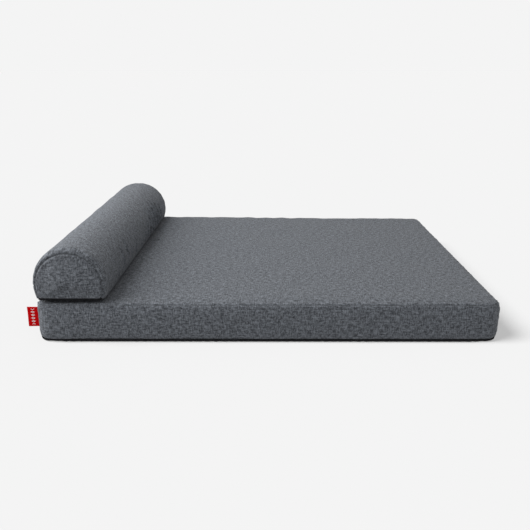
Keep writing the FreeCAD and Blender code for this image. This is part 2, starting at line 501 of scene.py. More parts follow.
def swell_at(tree: BVHTree | None, points: Array, outward: Array, reach: float = 0.02) -> Array:
    """Reads how far a swollen cover stands out from the pad's plain shape.

    Args:
        tree: The swollen cover, or None for the plain shape.
        points: Places on the plain shape, by row and column.
        outward: The outward directions there.
        reach: How far out the search starts.

    Returns:
        Heights, by row and column.
    """
    heights = np.zeros(points.shape[:2])
    if tree is None:
        return heights
    starts = points + outward * reach
    for place in np.ndindex(heights.shape):
        hit = tree.ray_cast(Vector(starts[place]), -Vector(outward[place]), 2 * reach)
        heights[place] = reach - hit[3] if hit[0] is not None else 0.0
    inner = heights[1:-1, 1:-1]
    around = heights[:-2, 1:-1] + heights[2:, 1:-1] + heights[1:-1, :-2] + heights[1:-1, 2:]
    heights[1:-1, 1:-1] = 0.5 * inner + 0.125 * around
    return heights


# ---------------- shader graphs


class Graph:
    """Short ways to add and join the nodes of one tree."""

    def __init__(self, tree: bpy.types.NodeTree) -> None:
        """Keeps the tree that the nodes go into."""
        self.tree = tree

    def add(self, kind: str, **inputs: object) -> bpy.types.Node:
        """Adds a node and sets its inputs.

        Args:
            kind: Its type, without the ShaderNode in front.
            **inputs: Values or sockets, by input name, with _ for each space.

        Returns:
            The new node.
        """
        node = self.tree.nodes.new("ShaderNode" + kind)
        for name, value in inputs.items():
            self.put(node.inputs[name.replace("_", " ")], value)
        return node

    def put(self, target: Socket, value: object) -> None:
        """Sets an input to a value, or joins a socket to it."""
        if isinstance(value, bpy.types.NodeSocket):
            self.tree.links.new(value, target)
        else:
            target.default_value = value

    def maths(self, operation: str, first: object, second: object = 0.0, third: object = 0.0) -> Socket:
        """Adds a Math node.

        Args:
            operation: What it does.
            first: Its first value or socket.
            second: Its second.
            third: Its third, where it has one.

        Returns:
            Its result.
        """
        node = self.tree.nodes.new("ShaderNodeMath")
        node.operation = operation
        for target, value in zip(node.inputs, (first, second, third)):
            self.put(target, value)
        return node.outputs[0]

    def mix(self, share: object, first: object, second: object) -> Socket:
        """Mixes two colours by a share and returns the mixed colour."""
        node = self.tree.nodes.new("ShaderNodeMix")
        node.data_type = "RGBA"
        for target, value in zip((node.inputs[0], node.inputs[6], node.inputs[7]), (share, first, second)):
            self.put(target, value)
        return node.outputs[2]

    def blend(self, share: object, first: object, second: object) -> Socket:
        """Mixes two numbers by a share and returns the mixed number."""
        node = self.tree.nodes.new("ShaderNodeMix")
        self.put(node.inputs[0], share)
        self.put(node.inputs[2], first)
        self.put(node.inputs[3], second)
        return node.outputs[0]

    def cloth_lengths(self) -> Socket:
        """Gives each point's place on the cloth, in metres."""
        node = self.tree.nodes.new("ShaderNodeUVMap")
        node.uv_map = "cloth"
        return node.outputs["UV"]

    def noise(self, place: Socket, scale: float, detail: float = 2.0) -> Socket:
        """Adds a noise texture and returns its height, around 0.5."""
        node = self.add("TexNoise", Vector=place, Scale=scale, Detail=detail, Roughness=0.55)
        return node.outputs["Fac"]


class Kind(Enum):
    """The kinds of value that a node group takes or gives."""

    VECTOR = "NodeSocketVector"
    NUMBER = "NodeSocketFloat"
    COLOUR = "NodeSocketColor"


SURFACE = {"Colour": Kind.COLOUR, "Roughness": Kind.NUMBER, "Height": Kind.NUMBER}


def new_group(name: str, takes: dict[str, Kind]) -> tuple[Graph, bpy.types.Node]:
    """Starts a shader node group that puts out a surface's colour, roughness and height.

    Args:
        name: The group's name.
        takes: Its inputs.

    Returns:
        The graph to fill, and its input node.
    """
    tree = bpy.data.node_groups.new(name, "ShaderNodeTree")
    for way, sockets in (("INPUT", takes), ("OUTPUT", SURFACE)):
        for label, kind in sockets.items():
            tree.interface.new_socket(label, in_out=way, socket_type=kind.value)
    return Graph(tree), tree.nodes.new("NodeGroupInput")


def end_group(graph: Graph, *surface: Socket) -> bpy.types.NodeTree:
    """Joins a surface's colour, roughness and height to its group's outputs, and gives the group."""
    result = graph.tree.nodes.new("NodeGroupOutput")
    for label, value in zip(SURFACE, surface):
        graph.put(result.inputs[label], value)
    return graph.tree


@dataclass(frozen=True)
class WeaveScales:
    """How many patches of each kind of unevenness go to about a metre of cloth.

    Attributes:
        marl: Changes of tone along a yarn.
        slub: Small patches.
        streak_warp: Streaks side by side across the warp.
        streak_weft: Streaks side by side across the weft.
        streak_run: Streaks end to end.
        cloud: Broad soft patches.
        cloud_share: How strong the broad patches are.
    """

    marl: float = 85.0
    slub: float = 480.0
    streak_warp: float = 430.0
    streak_weft: float = 300.0
    streak_run: float = 100.0
    cloud: float = 130.0
    cloud_share: float = 0.45


def weave_group() -> bpy.types.NodeTree:
    """Builds the group for plain-woven cloth of marled yarns, with painted shade: its colour is darker where
    the weave sinks between the yarns.

    Returns:
        The group. It takes cloth lengths and puts out the cloth's colour, roughness and height.
    """
    takes = {
        "Lengths": Kind.VECTOR,
        "Thread": Kind.NUMBER,
        "Dark": Kind.COLOUR,
        "Light": Kind.COLOUR,
        "Marl": Kind.NUMBER,
        "Slub": Kind.NUMBER,
        "Streak": Kind.NUMBER,
    }
    scales = WeaveScales()
    graph, given = new_group("plain weave", takes)
    lengths = given.outputs["Lengths"]
    split = graph.add("SeparateXYZ", Vector=lengths)
    yarns = []
    for axis in ("X", "Y"):
        count = graph.maths("DIVIDE", split.outputs[axis], given.outputs["Thread"])
        wave = graph.maths("SINE", graph.maths("MULTIPLY", count, math.pi))
        yarns.append((graph.maths("FLOOR", count), wave, graph.maths("ABSOLUTE", wave)))
    (warp, warp_wave, warp_round), (weft, weft_wave, weft_round) = yarns
    crossing = graph.maths("MULTIPLY", warp_wave, weft_wave)
    over = graph.maths("MULTIPLY_ADD", crossing, 2.2, 0.5)
    over.node.use_clamp = True
    warp_top = graph.maths("MULTIPLY", warp_round, graph.maths("MULTIPLY_ADD", weft_round, 0.45, 0.55))
    weft_top = graph.maths("MULTIPLY", weft_round, graph.maths("MULTIPLY_ADD", warp_round, 0.45, 0.55))
    height = graph.blend(over, weft_top, warp_top)
    along = {axis: graph.maths("MULTIPLY", split.outputs[axis], scales.marl) for axis in ("X", "Y")}
    warp_place = graph.add("CombineXYZ", X=graph.maths("MULTIPLY", warp, 0.73), Y=along["Y"])
    weft_place = graph.add("CombineXYZ", X=along["X"], Y=graph.maths("MULTIPLY", weft, 0.73), Z=5.2)
    warp_tone = graph.noise(warp_place.outputs[0], 1.0, 3.0)
    weft_tone = graph.noise(weft_place.outputs[0], 1.0, 3.0)
    tone = graph.maths("SUBTRACT", graph.blend(over, weft_tone, warp_tone), 0.5)
    slub = graph.maths("SUBTRACT", graph.noise(lengths, scales.slub, 2.5), 0.5)
    streaks = []
    ways = (("X", "Y", scales.streak_warp, 3.0), ("Y", "X", scales.streak_weft, 8.0))
    for wide, long, count, level in ways:
        across = graph.maths("MULTIPLY", split.outputs[wide], count)
        down = graph.maths("MULTIPLY", split.outputs[long], scales.streak_run)
        place = graph.add("CombineXYZ", X=across, Y=down, Z=level)
        streaks.append(graph.noise(place.outputs[0], 1.0, 2.0))
    streak = graph.maths("SUBTRACT", graph.maths("ADD", *streaks), 1.0)
    cloud = graph.maths("SUBTRACT", graph.noise(lengths, scales.cloud, 2.0), 0.5)
    shade = graph.maths("MULTIPLY_ADD", tone, given.outputs["Marl"], 0.42)
    shade = graph.maths("MULTIPLY_ADD", slub, given.outputs["Slub"], shade)
    shade = graph.maths("MULTIPLY_ADD", streak, given.outputs["Streak"], shade)
    shade = graph.maths("MULTIPLY_ADD", cloud, scales.cloud_share, shade)
    # Painted shade: the weave's height lightens the yarns' crests and darkens the gaps between them.
    shade = graph.maths("MULTIPLY_ADD", height, 0.22, shade)
    shade = graph.maths("SUBTRACT", shade, 0.11)
    shade.node.use_clamp = True
    colour = graph.mix(shade, given.outputs["Dark"], given.outputs["Light"])
    rough = graph.maths("MULTIPLY_ADD", height, -0.1, 0.97)
    return end_group(graph, colour, rough, graph.maths("MULTIPLY_ADD", slub, 0.9, height))


def pore_group() -> bpy.types.NodeTree:
    """Builds the group for open-cell foam, with painted shade: each pore is darker towards its middle, where
    it is deepest.

    Returns:
        The group. It takes places and puts out a colour, a roughness and a height.
    """
    takes = {"Place": Kind.VECTOR, "Cells": Kind.NUMBER, "Skin": Kind.COLOUR, "Cell": Kind.COLOUR}
    graph, given = new_group("foam pores", takes)
    cells = graph.add("TexVoronoi", Vector=given.outputs["Place"], Scale=given.outputs["Cells"])
    depth = graph.maths("MULTIPLY", cells.outputs["Distance"], 1.4)
    depth.node.use_clamp = True
    cloud = graph.noise(given.outputs["Place"], 14.0, 3.0)
    # Painted shade: the Cell colour fills each pore's hollow by its depth, mixed with a random cloud.
    open_share = graph.maths("MULTIPLY", depth, graph.maths("MULTIPLY_ADD", cloud, 0.8, 0.4))
    colour = graph.mix(open_share, given.outputs["Cell"], given.outputs["Skin"])
    return end_group(graph, colour, graph.maths("MULTIPLY_ADD", cloud, 0.1, 0.85), depth)


def worn_group() -> bpy.types.NodeTree:
    """Builds the group for small moulded or enamelled parts, with fine grain and handling marks.

    Returns:
        The group. It takes places and puts out a colour, a roughness and a height.
    """
    takes = {"Place": Kind.VECTOR, "Finish": Kind.COLOUR, "Rubbed": Kind.COLOUR, "Gloss": Kind.NUMBER}
    graph, given = new_group("handled surface", takes)
    grain = graph.noise(given.outputs["Place"], 2600.0, 2.0)
    marks = graph.noise(given.outputs["Place"], 420.0, 5.0)
    rubbed = graph.maths("MULTIPLY", graph.maths("SUBTRACT", marks, 0.56), 5.0)
    rubbed.node.use_clamp = True
    colour = graph.mix(rubbed, given.outputs["Finish"], given.outputs["Rubbed"])
    rough = graph.maths("MULTIPLY_ADD", grain, 0.16, given.outputs["Gloss"])
    return end_group(graph, colour, graph.maths("MULTIPLY_ADD", rubbed, 0.12, rough), grain)


class Groups:
    """The shared node groups, each built the first time that it is used."""

    _makers = {"weave": weave_group, "pores": pore_group, "handled": worn_group}
    _made: dict[str, bpy.types.NodeTree] = {}

    @classmethod
    def named(cls, name: str) -> bpy.types.NodeTree:
        """Gives a shared group by name."""
        if name not in cls._made:
            cls._made[name] = cls._makers[name]()
        return cls._made[name]


class Finish:
    """A material that is built once and shared by the pieces that wear it."""

    name: str

    def material(self) -> bpy.types.Material:
        """Gives the finish's material, and builds it the first time."""
        if self.name not in bpy.data.materials:
            self.build()
        return bpy.data.materials[self.name]

    def start(self, sheen: float = 0.0, specular: float = 0.3) -> tuple[Graph, bpy.types.Node]:
        """Starts the material.

        Args:
            sheen: The weight of its sheen.
            specular: The level of its plain reflection.

        Returns:
            The material's graph and its Principled shader.
        """
        made = bpy.data.materials.new(self.name)
        made.use_nodes = True
        shader = made.node_tree.nodes["Principled BSDF"]
        shader.inputs["Sheen Weight"].default_value = sheen
        shader.inputs["Sheen Roughness"].default_value = 0.5
        shader.inputs["Specular IOR Level"].default_value = specular
        return Graph(made.node_tree), shader

    def grouped(self, graph: Graph, name: str, **inputs: object) -> bpy.types.Node:
        """Places a shared group in the material and sets its inputs."""
        node = graph.tree.nodes.new("ShaderNodeGroup")
        node.node_tree = Groups.named(name)
        for label, value in inputs.items():
            graph.put(node.inputs[label], value)
        return node

    def surface(self, graph: Graph, shader: bpy.types.Node, group: bpy.types.Node, depth: float) -> None:
        """Joins a group's colour, roughness and height to the shader."""
        graph.put(shader.inputs["Base Color"], group.outputs["Colour"])
        graph.put(shader.inputs["Roughness"], group.outputs["Roughness"])
        bump = graph.add("Bump", Height=group.outputs["Height"], Distance=depth)
        graph.put(shader.inputs["Normal"], bump.outputs["Normal"])

    def build(self) -> None:
        """Builds the material."""
        raise NotImplementedError


@dataclass(frozen=True)
class Cloth(Finish):
    """Plain-woven cloth of marled yarns.

    Attributes:
        name: The material's name.
        dark: The darker yarn, and the colour that the painted shade between the yarns leans towards.
        light: The lighter yarn.
        thread: The spacing of the yarns.
        marl: How much each yarn's tone changes along it.
        slub: How much small patches of the cloth differ.
        streak: How much longer runs of thick and thin yarn differ.
        sheen: The weight of the soft shine at glancing angles.
        depth: The height of the weave.
    """

    name: str
    dark: Colour
    light: Colour
    thread: float = 0.0009
    marl: float = 0.8
    slub: float = 1.6
    streak: float = 1.7
    sheen: float = 0.06
    depth: float = 0.0002

    def build(self) -> None:
        """Builds the woven material."""
        graph, shader = self.start(self.sheen, specular=0.12)
        weave = self.grouped(
            graph,
            "weave",
            Lengths=graph.cloth_lengths(),
            Thread=self.thread,
            Dark=self.dark,
            Light=self.light,
            Marl=self.marl,
            Slub=self.slub,
            Streak=self.streak,
        )
        self.surface(graph, shader, weave, self.depth)


@dataclass(frozen=True)
class Foam(Finish):
    """Open-cell foam.

    Attributes:
        name: The material's name.
        skin: Its colour between the cells.
        cell: The painted shade inside them, darker than the skin.
        cells: How many cells go to a metre.
    """

    name: str
    skin: Colour
    cell: Colour
    cells: float = 600.0

    def build(self) -> None:
        """Builds the foam material."""
        graph, shader = self.start(sheen=0.1)
        place = graph.add("TexCoord").outputs["Object"]
        pores = self.grouped(graph, "pores", Place=place, Cells=self.cells, Skin=self.skin, Cell=self.cell)
        self.surface(graph, shader, pores, 0.0006)


@dataclass(frozen=True)
class Handled(Finish):
    """A small moulded or enamelled part that fingers rub.

    Attributes:
        name: The material's name.
        finish: Its colour.
        rubbed: Its colour where it is rubbed.
        gloss: Its least roughness.
        metal: How metallic it is.
        depth: The height of its grain.
    """

    name: str
    finish: Colour
    rubbed: Colour
    gloss: float = 0.3
    metal: float = 0.0
    depth: float = 0.00002

    def build(self) -> None:
        """Builds the material."""
        graph, shader = self.start(specular=0.5)
        shader.inputs["Metallic"].default_value = self.metal
        place = graph.add("TexCoord").outputs["Object"]
        worn = self.grouped(
            graph, "handled", Place=place, Finish=self.finish, Rubbed=self.rubbed, Gloss=self.gloss
        )
        self.surface(graph, shader, worn, self.depth)


@dataclass(frozen=True)
class LabelWeave(Finish):
    """The damask weave of the side label: a red ground with a row of pale lozenges.

    Attributes:
        name: The material's name.
        ground: The ground's colour.
        motif: The motif's colour.
        reach: The label's width, from its seam to its fold.
        height: Its height.
    """

    name: str
    ground: Colour
    motif: Colour
    reach: float
    height: float

    def build(self) -> None:
        """Builds the label's material."""
        graph, shader = self.start(specular=0.03)
        lengths = graph.cloth_lengths()
        split = graph.add("SeparateXYZ", Vector=lengths)
        across = graph.maths("SUBTRACT", split.outputs["X"], self.reach * 0.56)
        aside = graph.maths("MULTIPLY", graph.maths("ABSOLUTE", across), 1 / (self.reach * 0.2))
        rows = graph.maths("MULTIPLY", split.outputs["Y"], 5 / (self.height * 0.8))
        inner = graph.maths("PINGPONG", graph.maths("ADD", rows, 0.5), 0.5)
        lozenge = graph.maths("ADD", aside, graph.maths("MULTIPLY", inner, 2.4))
        body = graph.maths("LESS_THAN", lozenge, 0.86)
        hollow = graph.maths("GREATER_THAN", lozenge, 0.4)
        span = graph.maths("LESS_THAN", graph.maths("ABSOLUTE", split.outputs["Y"]), self.height * 0.4)
        mark = graph.maths("MULTIPLY", graph.maths("MULTIPLY", body, hollow), span)
        rib = graph.maths("SINE", graph.maths("MULTIPLY", split.outputs["Y"], 2 * math.pi / 0.0005))
        twill = graph.maths("SINE", graph.maths("MULTIPLY", split.outputs["X"], 2 * math.pi / 0.0004))
        height = graph.maths("MULTIPLY_ADD", twill, 0.3, graph.maths("MULTIPLY_ADD", mark, 1.2, rib))
        fleck = graph.noise(lengths, 1500.0, 2.0)
        ground = graph.mix(fleck, self.ground, tuple(0.7 * c for c in self.ground[:3]) + (1.0,))
        motif = graph.mix(fleck, self.motif, tuple(0.8 * c for c in self.motif[:3]) + (1.0,))
        graph.put(shader.inputs["Base Color"], graph.mix(mark, ground, motif))
        graph.put(shader.inputs["Roughness"], graph.maths("MULTIPLY_ADD", mark, -0.12, 0.68))
        bump = graph.add("Bump", Height=height, Distance=0.00006)
        graph.put(shader.inputs["Normal"], bump.outputs["Normal"])


# Each cloth's darker colour is also where its painted shade between the yarns leans.
COVER = Cloth("heathered_cover_cloth", grey(0.0262, 0.0285, 0.0327), grey(0.1305, 0.1411, 0.1583))
BASE = Cloth(
    "black_base_cloth",
    grey(0.002, 0.002, 0.0026),
    grey(0.010, 0.010, 0.0115),
    thread=0.0016,
    marl=0.6,
    slub=0.5,
    sheen=0.02,
)
TAPE = Cloth(
    "zip_tape_weave", grey(0.012, 0.013, 0.015), grey(0.05, 0.052, 0.058), thread=0.0006, marl=0.5, slub=0.4
)
PILE = Cloth(
    "loop_pile", grey(0.006, 0.006, 0.007), grey(0.035, 0.035, 0.038), thread=0.0011, slub=2.0, sheen=0.05
)
THREAD = Handled("polyester_thread", grey(0.05, 0.053, 0.06), grey(0.11, 0.115, 0.125), gloss=0.45)
COIL = Handled("nylon_coil", grey(0.018, 0.019, 0.022), grey(0.05, 0.052, 0.058), gloss=0.32)
HOOKS = Handled("nylon_hooks", grey(0.008, 0.008, 0.009), grey(0.03, 0.03, 0.032), gloss=0.35)
RUBBER = Handled("grip_rubber", grey(0.008, 0.008, 0.009), grey(0.022, 0.022, 0.024), gloss=0.62)
ENAMEL = Handled(
    "black_enamel", grey(0.012, 0.012, 0.014), grey(0.09, 0.09, 0.095), gloss=0.22, metal=0.35, depth=0.00001
)
LINER = Handled("coated_liner", grey(0.62, 0.64, 0.66), grey(0.75, 0.76, 0.78), gloss=0.4, depth=0.0002)
# Each foam's second colour is the painted shade in its pores.
BASE_FOAM = Foam("firm_foam", grey(0.64, 0.6, 0.46), grey(0.33, 0.3, 0.2))
MEMORY_FOAM = Foam("soft_slab_foam", grey(0.78, 0.73, 0.58), grey(0.48, 0.43, 0.31), cells=950.0)
BOLSTER_FOAM = Foam("bolster_core_foam", grey(0.62, 0.63, 0.64), grey(0.34, 0.35, 0.36), cells=500.0)


def dress(piece: bpy.types.Object, finish: Finish) -> bpy.types.Object:
    """Puts a finish on a piece, and logs which finish it wears.

    Args:
        piece: The piece.
        finish: What it is finished in.

    Returns:
        The same piece.
    """
    piece.data.materials.clear()
    piece.data.materials.append(finish.material())
    LOG.info("%s wears %s", piece.name, finish.name)
    return piece


def ride_as(piece: bpy.types.Object, body: str, node: str) -> None:
    """Makes a piece ride on a CAD body and stand for a CAD node."""
    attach(piece, body)
    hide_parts(node)


def sew(
    name: str, line: Array, ways: Array, body: str, pitch: float = 0.0032
) -> None:
    """Sews a row of stitches that rides on a CAD body.

    Args:
        name: The row's name.
        line: Points along it.
        ways: The cloth's outward direction at each of them.
        body: The body that it rides on.
        pitch: The length of one stitch and the gap after it.
    """
    row = dress(stitches(name, line, ways, pitch), THREAD)
    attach(row, body)


def report_swell(name: str, height: Array) -> None:
    """Reports how far a panel swells."""
    LOG.info("%s swells %.1f mm on average, %.1f at most", name, 1e3 * height.mean(), 1e3 * height.max())


def raised(places: Array, ways: Array, height: Array) -> Array:
    """Lifts places along their outward directions, and sinks none further than the cloth goes."""
    return places + ways * np.maximum(height, DEEPEST)[..., None]


def zip_mouth(end: float, start: float, along: Array, tape: tuple[float, float]) -> Array:
    """Draws a panel's edge back round a zip, so that the zip shows.

    Args:
        end: The zip's middle line, as a cloth length.
        start: The panel's other edge.
        along: Places along the zip.
        tape: Half the tape's length, and half the width that shows.

    Returns:
        Where the panel ends, at each place.
    """
    inside = smooth_step(np.abs(along), tape[0] + MOUTH_PAST, tape[0] - MOUTH_INSIDE)
    return end + np.sign(start - end) * tape[1] * inside


def dress_node(node: str, finish: Finish) -> bpy.types.Object:
    """Gives a CAD node that keeps its shape a better finish."""
    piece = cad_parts[node]
    for place in piece.material_slots:
        place.material = finish.material()
    LOG.info("%s keeps its shape and wears %s", node, finish.name)
    return piece


# ---------------- the mattress


@dataclass
class Rounded:
    """A grid over a rectangle with rounded corners, finer towards its edge.

    Attributes:
        half_x: Half its length.
        half_y: Half its depth.
        corner: The radius of its corners.
        step: The spacing of the grid away from the edge.
    """

    half_x: float
    half_y: float
    corner: float
    step: float = CLOTH_STEP
    x: Array = field(init=False)
    y: Array = field(init=False)
    depth: Array = field(init=False)
    out_x: Array = field(init=False)
    out_y: Array = field(init=False)

    def __post_init__(self) -> None:
        """Lays out the grid, and how deep inside the edge and which way out each point is."""
        x, y = np.meshgrid(self._spread(self.half_x), self._spread(self.half_y))
        centre_x = self.half_x - self.corner
        centre_y = self.half_y - self.corner
        u = (np.abs(x) - centre_x) / self.corner
        v = (np.abs(y) - centre_y) / self.corner
        turn = (u > 0) & (v > 0)
        round_u = np.where(turn, u * np.sqrt(np.clip(1 - v * v / 2, 0, 1)), u)
        round_v = np.where(turn, v * np.sqrt(np.clip(1 - u * u / 2, 0, 1)), v)
        self.x = np.sign(x) * (centre_x + self.corner * round_u)
        self.y = np.sign(y) * (centre_y + self.corner * round_v)
        far = np.where(turn, np.hypot(round_u, round_v), np.maximum(u, v))
        self.depth = self.corner * (1 - far)
        long_side = np.where(turn, round_u / np.maximum(far, 1e-9), (u >= v).astype(float))
        short_side = np.where(turn, round_v / np.maximum(far, 1e-9), (u < v).astype(float))
        self.out_x = np.sign(x) * long_side
        self.out_y = np.sign(y) * short_side

    def _spread(self, half: float) -> Array:
        """Places from -half to half, dense near both ends."""
        near = EDGE_STEPS[:-1] * self.corner
        inner = half - self.corner
        count = max(2, round(2 * inner / self.step))
        middle = np.linspace(-inner, inner, count + 1)
        return np.concatenate([-half + near, middle, half - near[::-1]])

    def edge(self) -> tuple[Array, Array, dict[str, Array]]:
        """Walks round the grid's edge, anticlockwise from the near left corner.

        Returns:
            The edge's points, their outward directions, and the stretch of it on each side, by name.
        """
        rows, columns = self.x.shape
        walk = [(0, c) for c in range(columns)]
        walk += [(r, columns - 1) for r in range(1, rows)]
        walk += [(rows - 1, c) for c in range(columns - 2, -1, -1)]
        walk += [(r, 0) for r in range(rows - 2, 0, -1)]
        picked = tuple(np.array(walk).T)
        points = np.stack([self.x[picked], self.y[picked]], axis=1)
        outward = np.stack([self.out_x[picked], self.out_y[picked]], axis=1)
        turn = len(EDGE_STEPS) - 1
        total = len(walk)
        right = columns - 1
        rear = right + rows - 1
        left = rear + columns - 1
        sides = {
            "front": np.arange(-turn, right + turn + 1) % total,
            "right": np.arange(right + turn, rear - turn + 1),
            "rear": np.arange(rear - turn, left + turn + 1),
            "left": np.arange(left + turn, total - turn + 1),
        }
        return points, outward, sides


@dataclass
class Mattress:
    """The foam mattress in its sewn cover.

    Attributes:
        corner_r: The radius of its upright corners.
        top_r: The radius of its top edge.
        base_r: The radius of its base edge at the corners.
        foot_r: The tighter radius of its base edge along the walls, where the foam fills it out.
        spare: How much fuller the foam is than the pad's plain shape.
        rise: How much higher the pad stands at its rear left.
        filling: How its foam swells the cover.
    """

    corner_r: float = 0.028
    top_r: float = 0.010
    base_r: float = 0.016
    foot_r: float = 0.007
    spare: float = 0.0014
    rise: float = 0.0045
    filling: Filling = Filling(0.007, 0.0014, 2.0, 0.006, 0.0021, 0.0021)

    def __post_init__(self) -> None:
        """Takes its size and seams from the CAD nodes."""
        boxing_low, boxing_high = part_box("front_boxing")
        top_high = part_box("top_panel")[1]
        self.half_x = boxing_high.x
        self.half_y = -boxing_low.y
        self.height = top_high.z
        self.base_seam = boxing_low.z
        self.top_inset = self.half_x - top_high.x
        self.base_inset = self.base_r - math.sqrt(self.base_r**2 - (self.base_r - self.base_seam) ** 2)
        self.tape_low, self.tape_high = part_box("mattress_zip_tape")
        self.top = self._grid(self.top_inset)
        self._profile()
        self.tree: BVHTree | None = None

    def _profile(self) -> None:
        """Lays out the wall's outline from the top seam down, at the corners and along the walls."""
        start = math.acos(1 - self.top_inset / self.top_r)
        end = math.asin((self.base_r - self.base_seam) / self.base_r)
        upper = np.linspace(start, 0, 24)
        lower = np.linspace(0, -end, 24)
        top_out = self.top_r * (np.cos(upper) - 1)
        top_high = self.height - self.top_r + self.top_r * np.sin(upper)
        out = np.concatenate([top_out, self.base_r * (np.cos(lower) - 1)])
        high = np.concatenate([top_high, self.base_r + self.base_r * np.sin(lower)])
        steps = np.hypot(np.diff(out), np.diff(high))
        self.wall_t = np.concatenate([[0], np.cumsum(steps)])
        self.wall_length = float(self.wall_t[-1])
        self.wall = {"out": out, "high": high, "turn": np.concatenate([upper, lower])}
        self.straight = {
            "out": np.concatenate([top_out, np.zeros(24)]),
            "high": np.concatenate([top_high, np.linspace(self.base_r, self.foot_r, 24)]),
            "turn": np.concatenate([upper, np.zeros(24)]),
        }

    def roundness(self, x: Array, y: Array, out_x: Array, out_y: Array) -> Array:
        """Gives how near a place is to a corner of the pad.

        Args:
            x: Places along the pad.
            y: Places across it.
            out_x: The X part of the outward direction there.
            out_y: The Y part.

        Returns:
            0.4 at a corner, falling to 0 along the walls.
        """
        gap_x = self.half_x - self.corner_r - np.abs(x)
        gap_y = self.half_y - self.corner_r - np.abs(y)
        gap = np.where(np.abs(out_x) > np.abs(out_y), gap_y, gap_x)
        return 0.4 * smooth_step(gap, 0.035, -0.004)

    def wall_places(self, edge: Array, outward: Array, lengths: Array) -> tuple[Array, Array]:
        """Gives the plain shape of a stretch of wall.

        Args:
            edge: The top seam's points, by column.
            outward: Their outward directions.
            lengths: How far down the wall each grid point is, by row and column.

        Returns:
            Places and outward directions, by row and column.
        """
        share = self.roundness(edge[:, 0], edge[:, 1], outward[:, 0], outward[:, 1])
        out, high, turn = (
            share * np.interp(lengths, self.wall_t, self.wall[key])
            + (1 - share) * np.interp(lengths, self.wall_t, self.straight[key])
            for key in ("out", "high", "turn")
        )
        out = out + self.top_inset
        places = np.stack(
            [edge[:, 0] + outward[:, 0] * out, edge[:, 1] + outward[:, 1] * out, high], axis=-1
        )
        ways = np.stack(
            [outward[:, 0] * np.cos(turn), outward[:, 1] * np.cos(turn), np.sin(turn)], axis=-1
        )
        return places, ways

    def top_places(self) -> tuple[Array, Array]:
        """Gives the plain shape of the top panel, as places and outward directions."""
        grid = self.top
        across = np.clip(self.top_r - self.top_inset - grid.depth, 0, None)
        rise = np.sqrt(self.top_r**2 - across**2)
        places = np.stack([grid.x, grid.y, self.height - self.top_r + rise], axis=-1)
        ways = np.stack([grid.out_x * across, grid.out_y * across, rise], axis=-1) / self.top_r
        return places, ways

    def base_places(self, grid: Rounded) -> tuple[Array, Array]:
        """Gives the plain shape of the base panel, as places and outward directions."""
        reach = self.base_r - self.base_inset
        across = np.clip(reach - grid.depth, 0, None)
        drop = np.sqrt(self.base_r**2 - across**2)
        turn = np.clip(grid.depth / reach, 0, 1) * math.pi / 2
        shift = grid.depth + self.base_inset - self.foot_r * (1 - np.cos(turn))
        shift = np.where(grid.depth < reach, shift, self.base_r - self.foot_r)
        shift *= smooth_step(grid.depth, 0.04, reach)
        share = self.roundness(grid.x, grid.y, grid.out_x, grid.out_y)
        shift *= 1 - share
        high = share * (self.base_r - drop) + (1 - share) * self.foot_r * (1 - np.sin(turn))
        places = np.stack([grid.x + grid.out_x * shift, grid.y + grid.out_y * shift, high], axis=-1)
        sink = share * drop / self.base_r + (1 - share) * np.sin(turn)
        flare = share * across / self.base_r + (1 - share) * np.cos(turn)
        ways = np.stack([grid.out_x * flare, grid.out_y * flare, -sink], axis=-1)
        return places, ways / np.linalg.norm(ways, axis=-1, keepdims=True)

    def fullness(self, places: Array, ways: Array) -> Array:
        """Gives how far the filling lifts the cover everywhere: the swell, the spare foam and the rise.

        Args:
            places: Places on the pad's plain shape, by row and column.
            ways: The outward directions there.

        Returns:
            Heights, by row and column.
        """
        x, y, z = places[..., 0], places[..., 1], places[..., 2]
        lifted = smooth_step(x, 0.30, -0.30) * smooth_step(y, -0.10, 0.34) * smooth_step(z, 0.045, 0.076)
        foot = smooth_step(z, 0.001, 0.012)
        return swell_at(self.tree, places, ways) + self.spare * foot + self.rise * lifted

    def swell(self) -> None:
        """Runs the cloth simulation of the whole cover, held at its seams and its base."""
        edge, outward, _ = self.top.edge()
        lengths = np.linspace(0, self.wall_length, 22)[:, None] * np.ones(len(edge))
        wall, wall_ways = self.wall_places(edge, outward, lengths)
        top, top_ways = self.top_places()
        base_grid = self._grid(self.base_inset)
        base, base_ways = self.base_places(base_grid)
        inset = self.filling.inset
        top, base, wall = top - top_ways * inset, base - base_ways * inset, wall - wall_ways * inset
        faces = grid_faces(*top.shape[:2], flip=False)
        shift = top.size // 3
        faces += [tuple(v + shift for v in f) for f in grid_faces(*base.shape[:2], flip=True)]
        shift += base.size // 3
        faces += [tuple(v + shift for v in f) for f in grid_faces(*wall.shape[:2], flip=True, closed=True)]
        everything = np.concatenate([part.reshape(-1, 3) for part in (top, base, wall)])
        seams = np.concatenate([wall[0], wall[-1], base[base_grid.depth > self.base_r]])
        self.tree = self.filling.settle("mattress_swell", everything, faces, seams)

    def _grid(self, inset: float) -> Rounded:
        """Gives the grid of the top or the base panel, whose seam is inset from the walls."""
        return Rounded(self.half_x - inset, self.half_y - inset, self.corner_r - inset)

    def build(self) -> None:
        """Makes every panel of the cover and its seams."""
        self.swell()
        self._top_panel()
        for side in ("front", "right", "left"):
            self._boxing(side + "_boxing", side, 0.0, self.wall_length)
        middle = self.wall_length_at((self.tape_low.z + self.tape_high.z) / 2)
        self._boxing("rear_boxing_upper", "rear", 0.0, middle)
        self._boxing("rear_boxing_lower", "rear", self.wall_length, middle)
        self._base_panel()
        self._grip_dots()
        self._seam_threads()

    def wall_length_at(self, height: float) -> float:
        """Gives how far down the wall's cloth a height is."""
        return float(np.interp(-height, -self.wall["high"], self.wall_t))

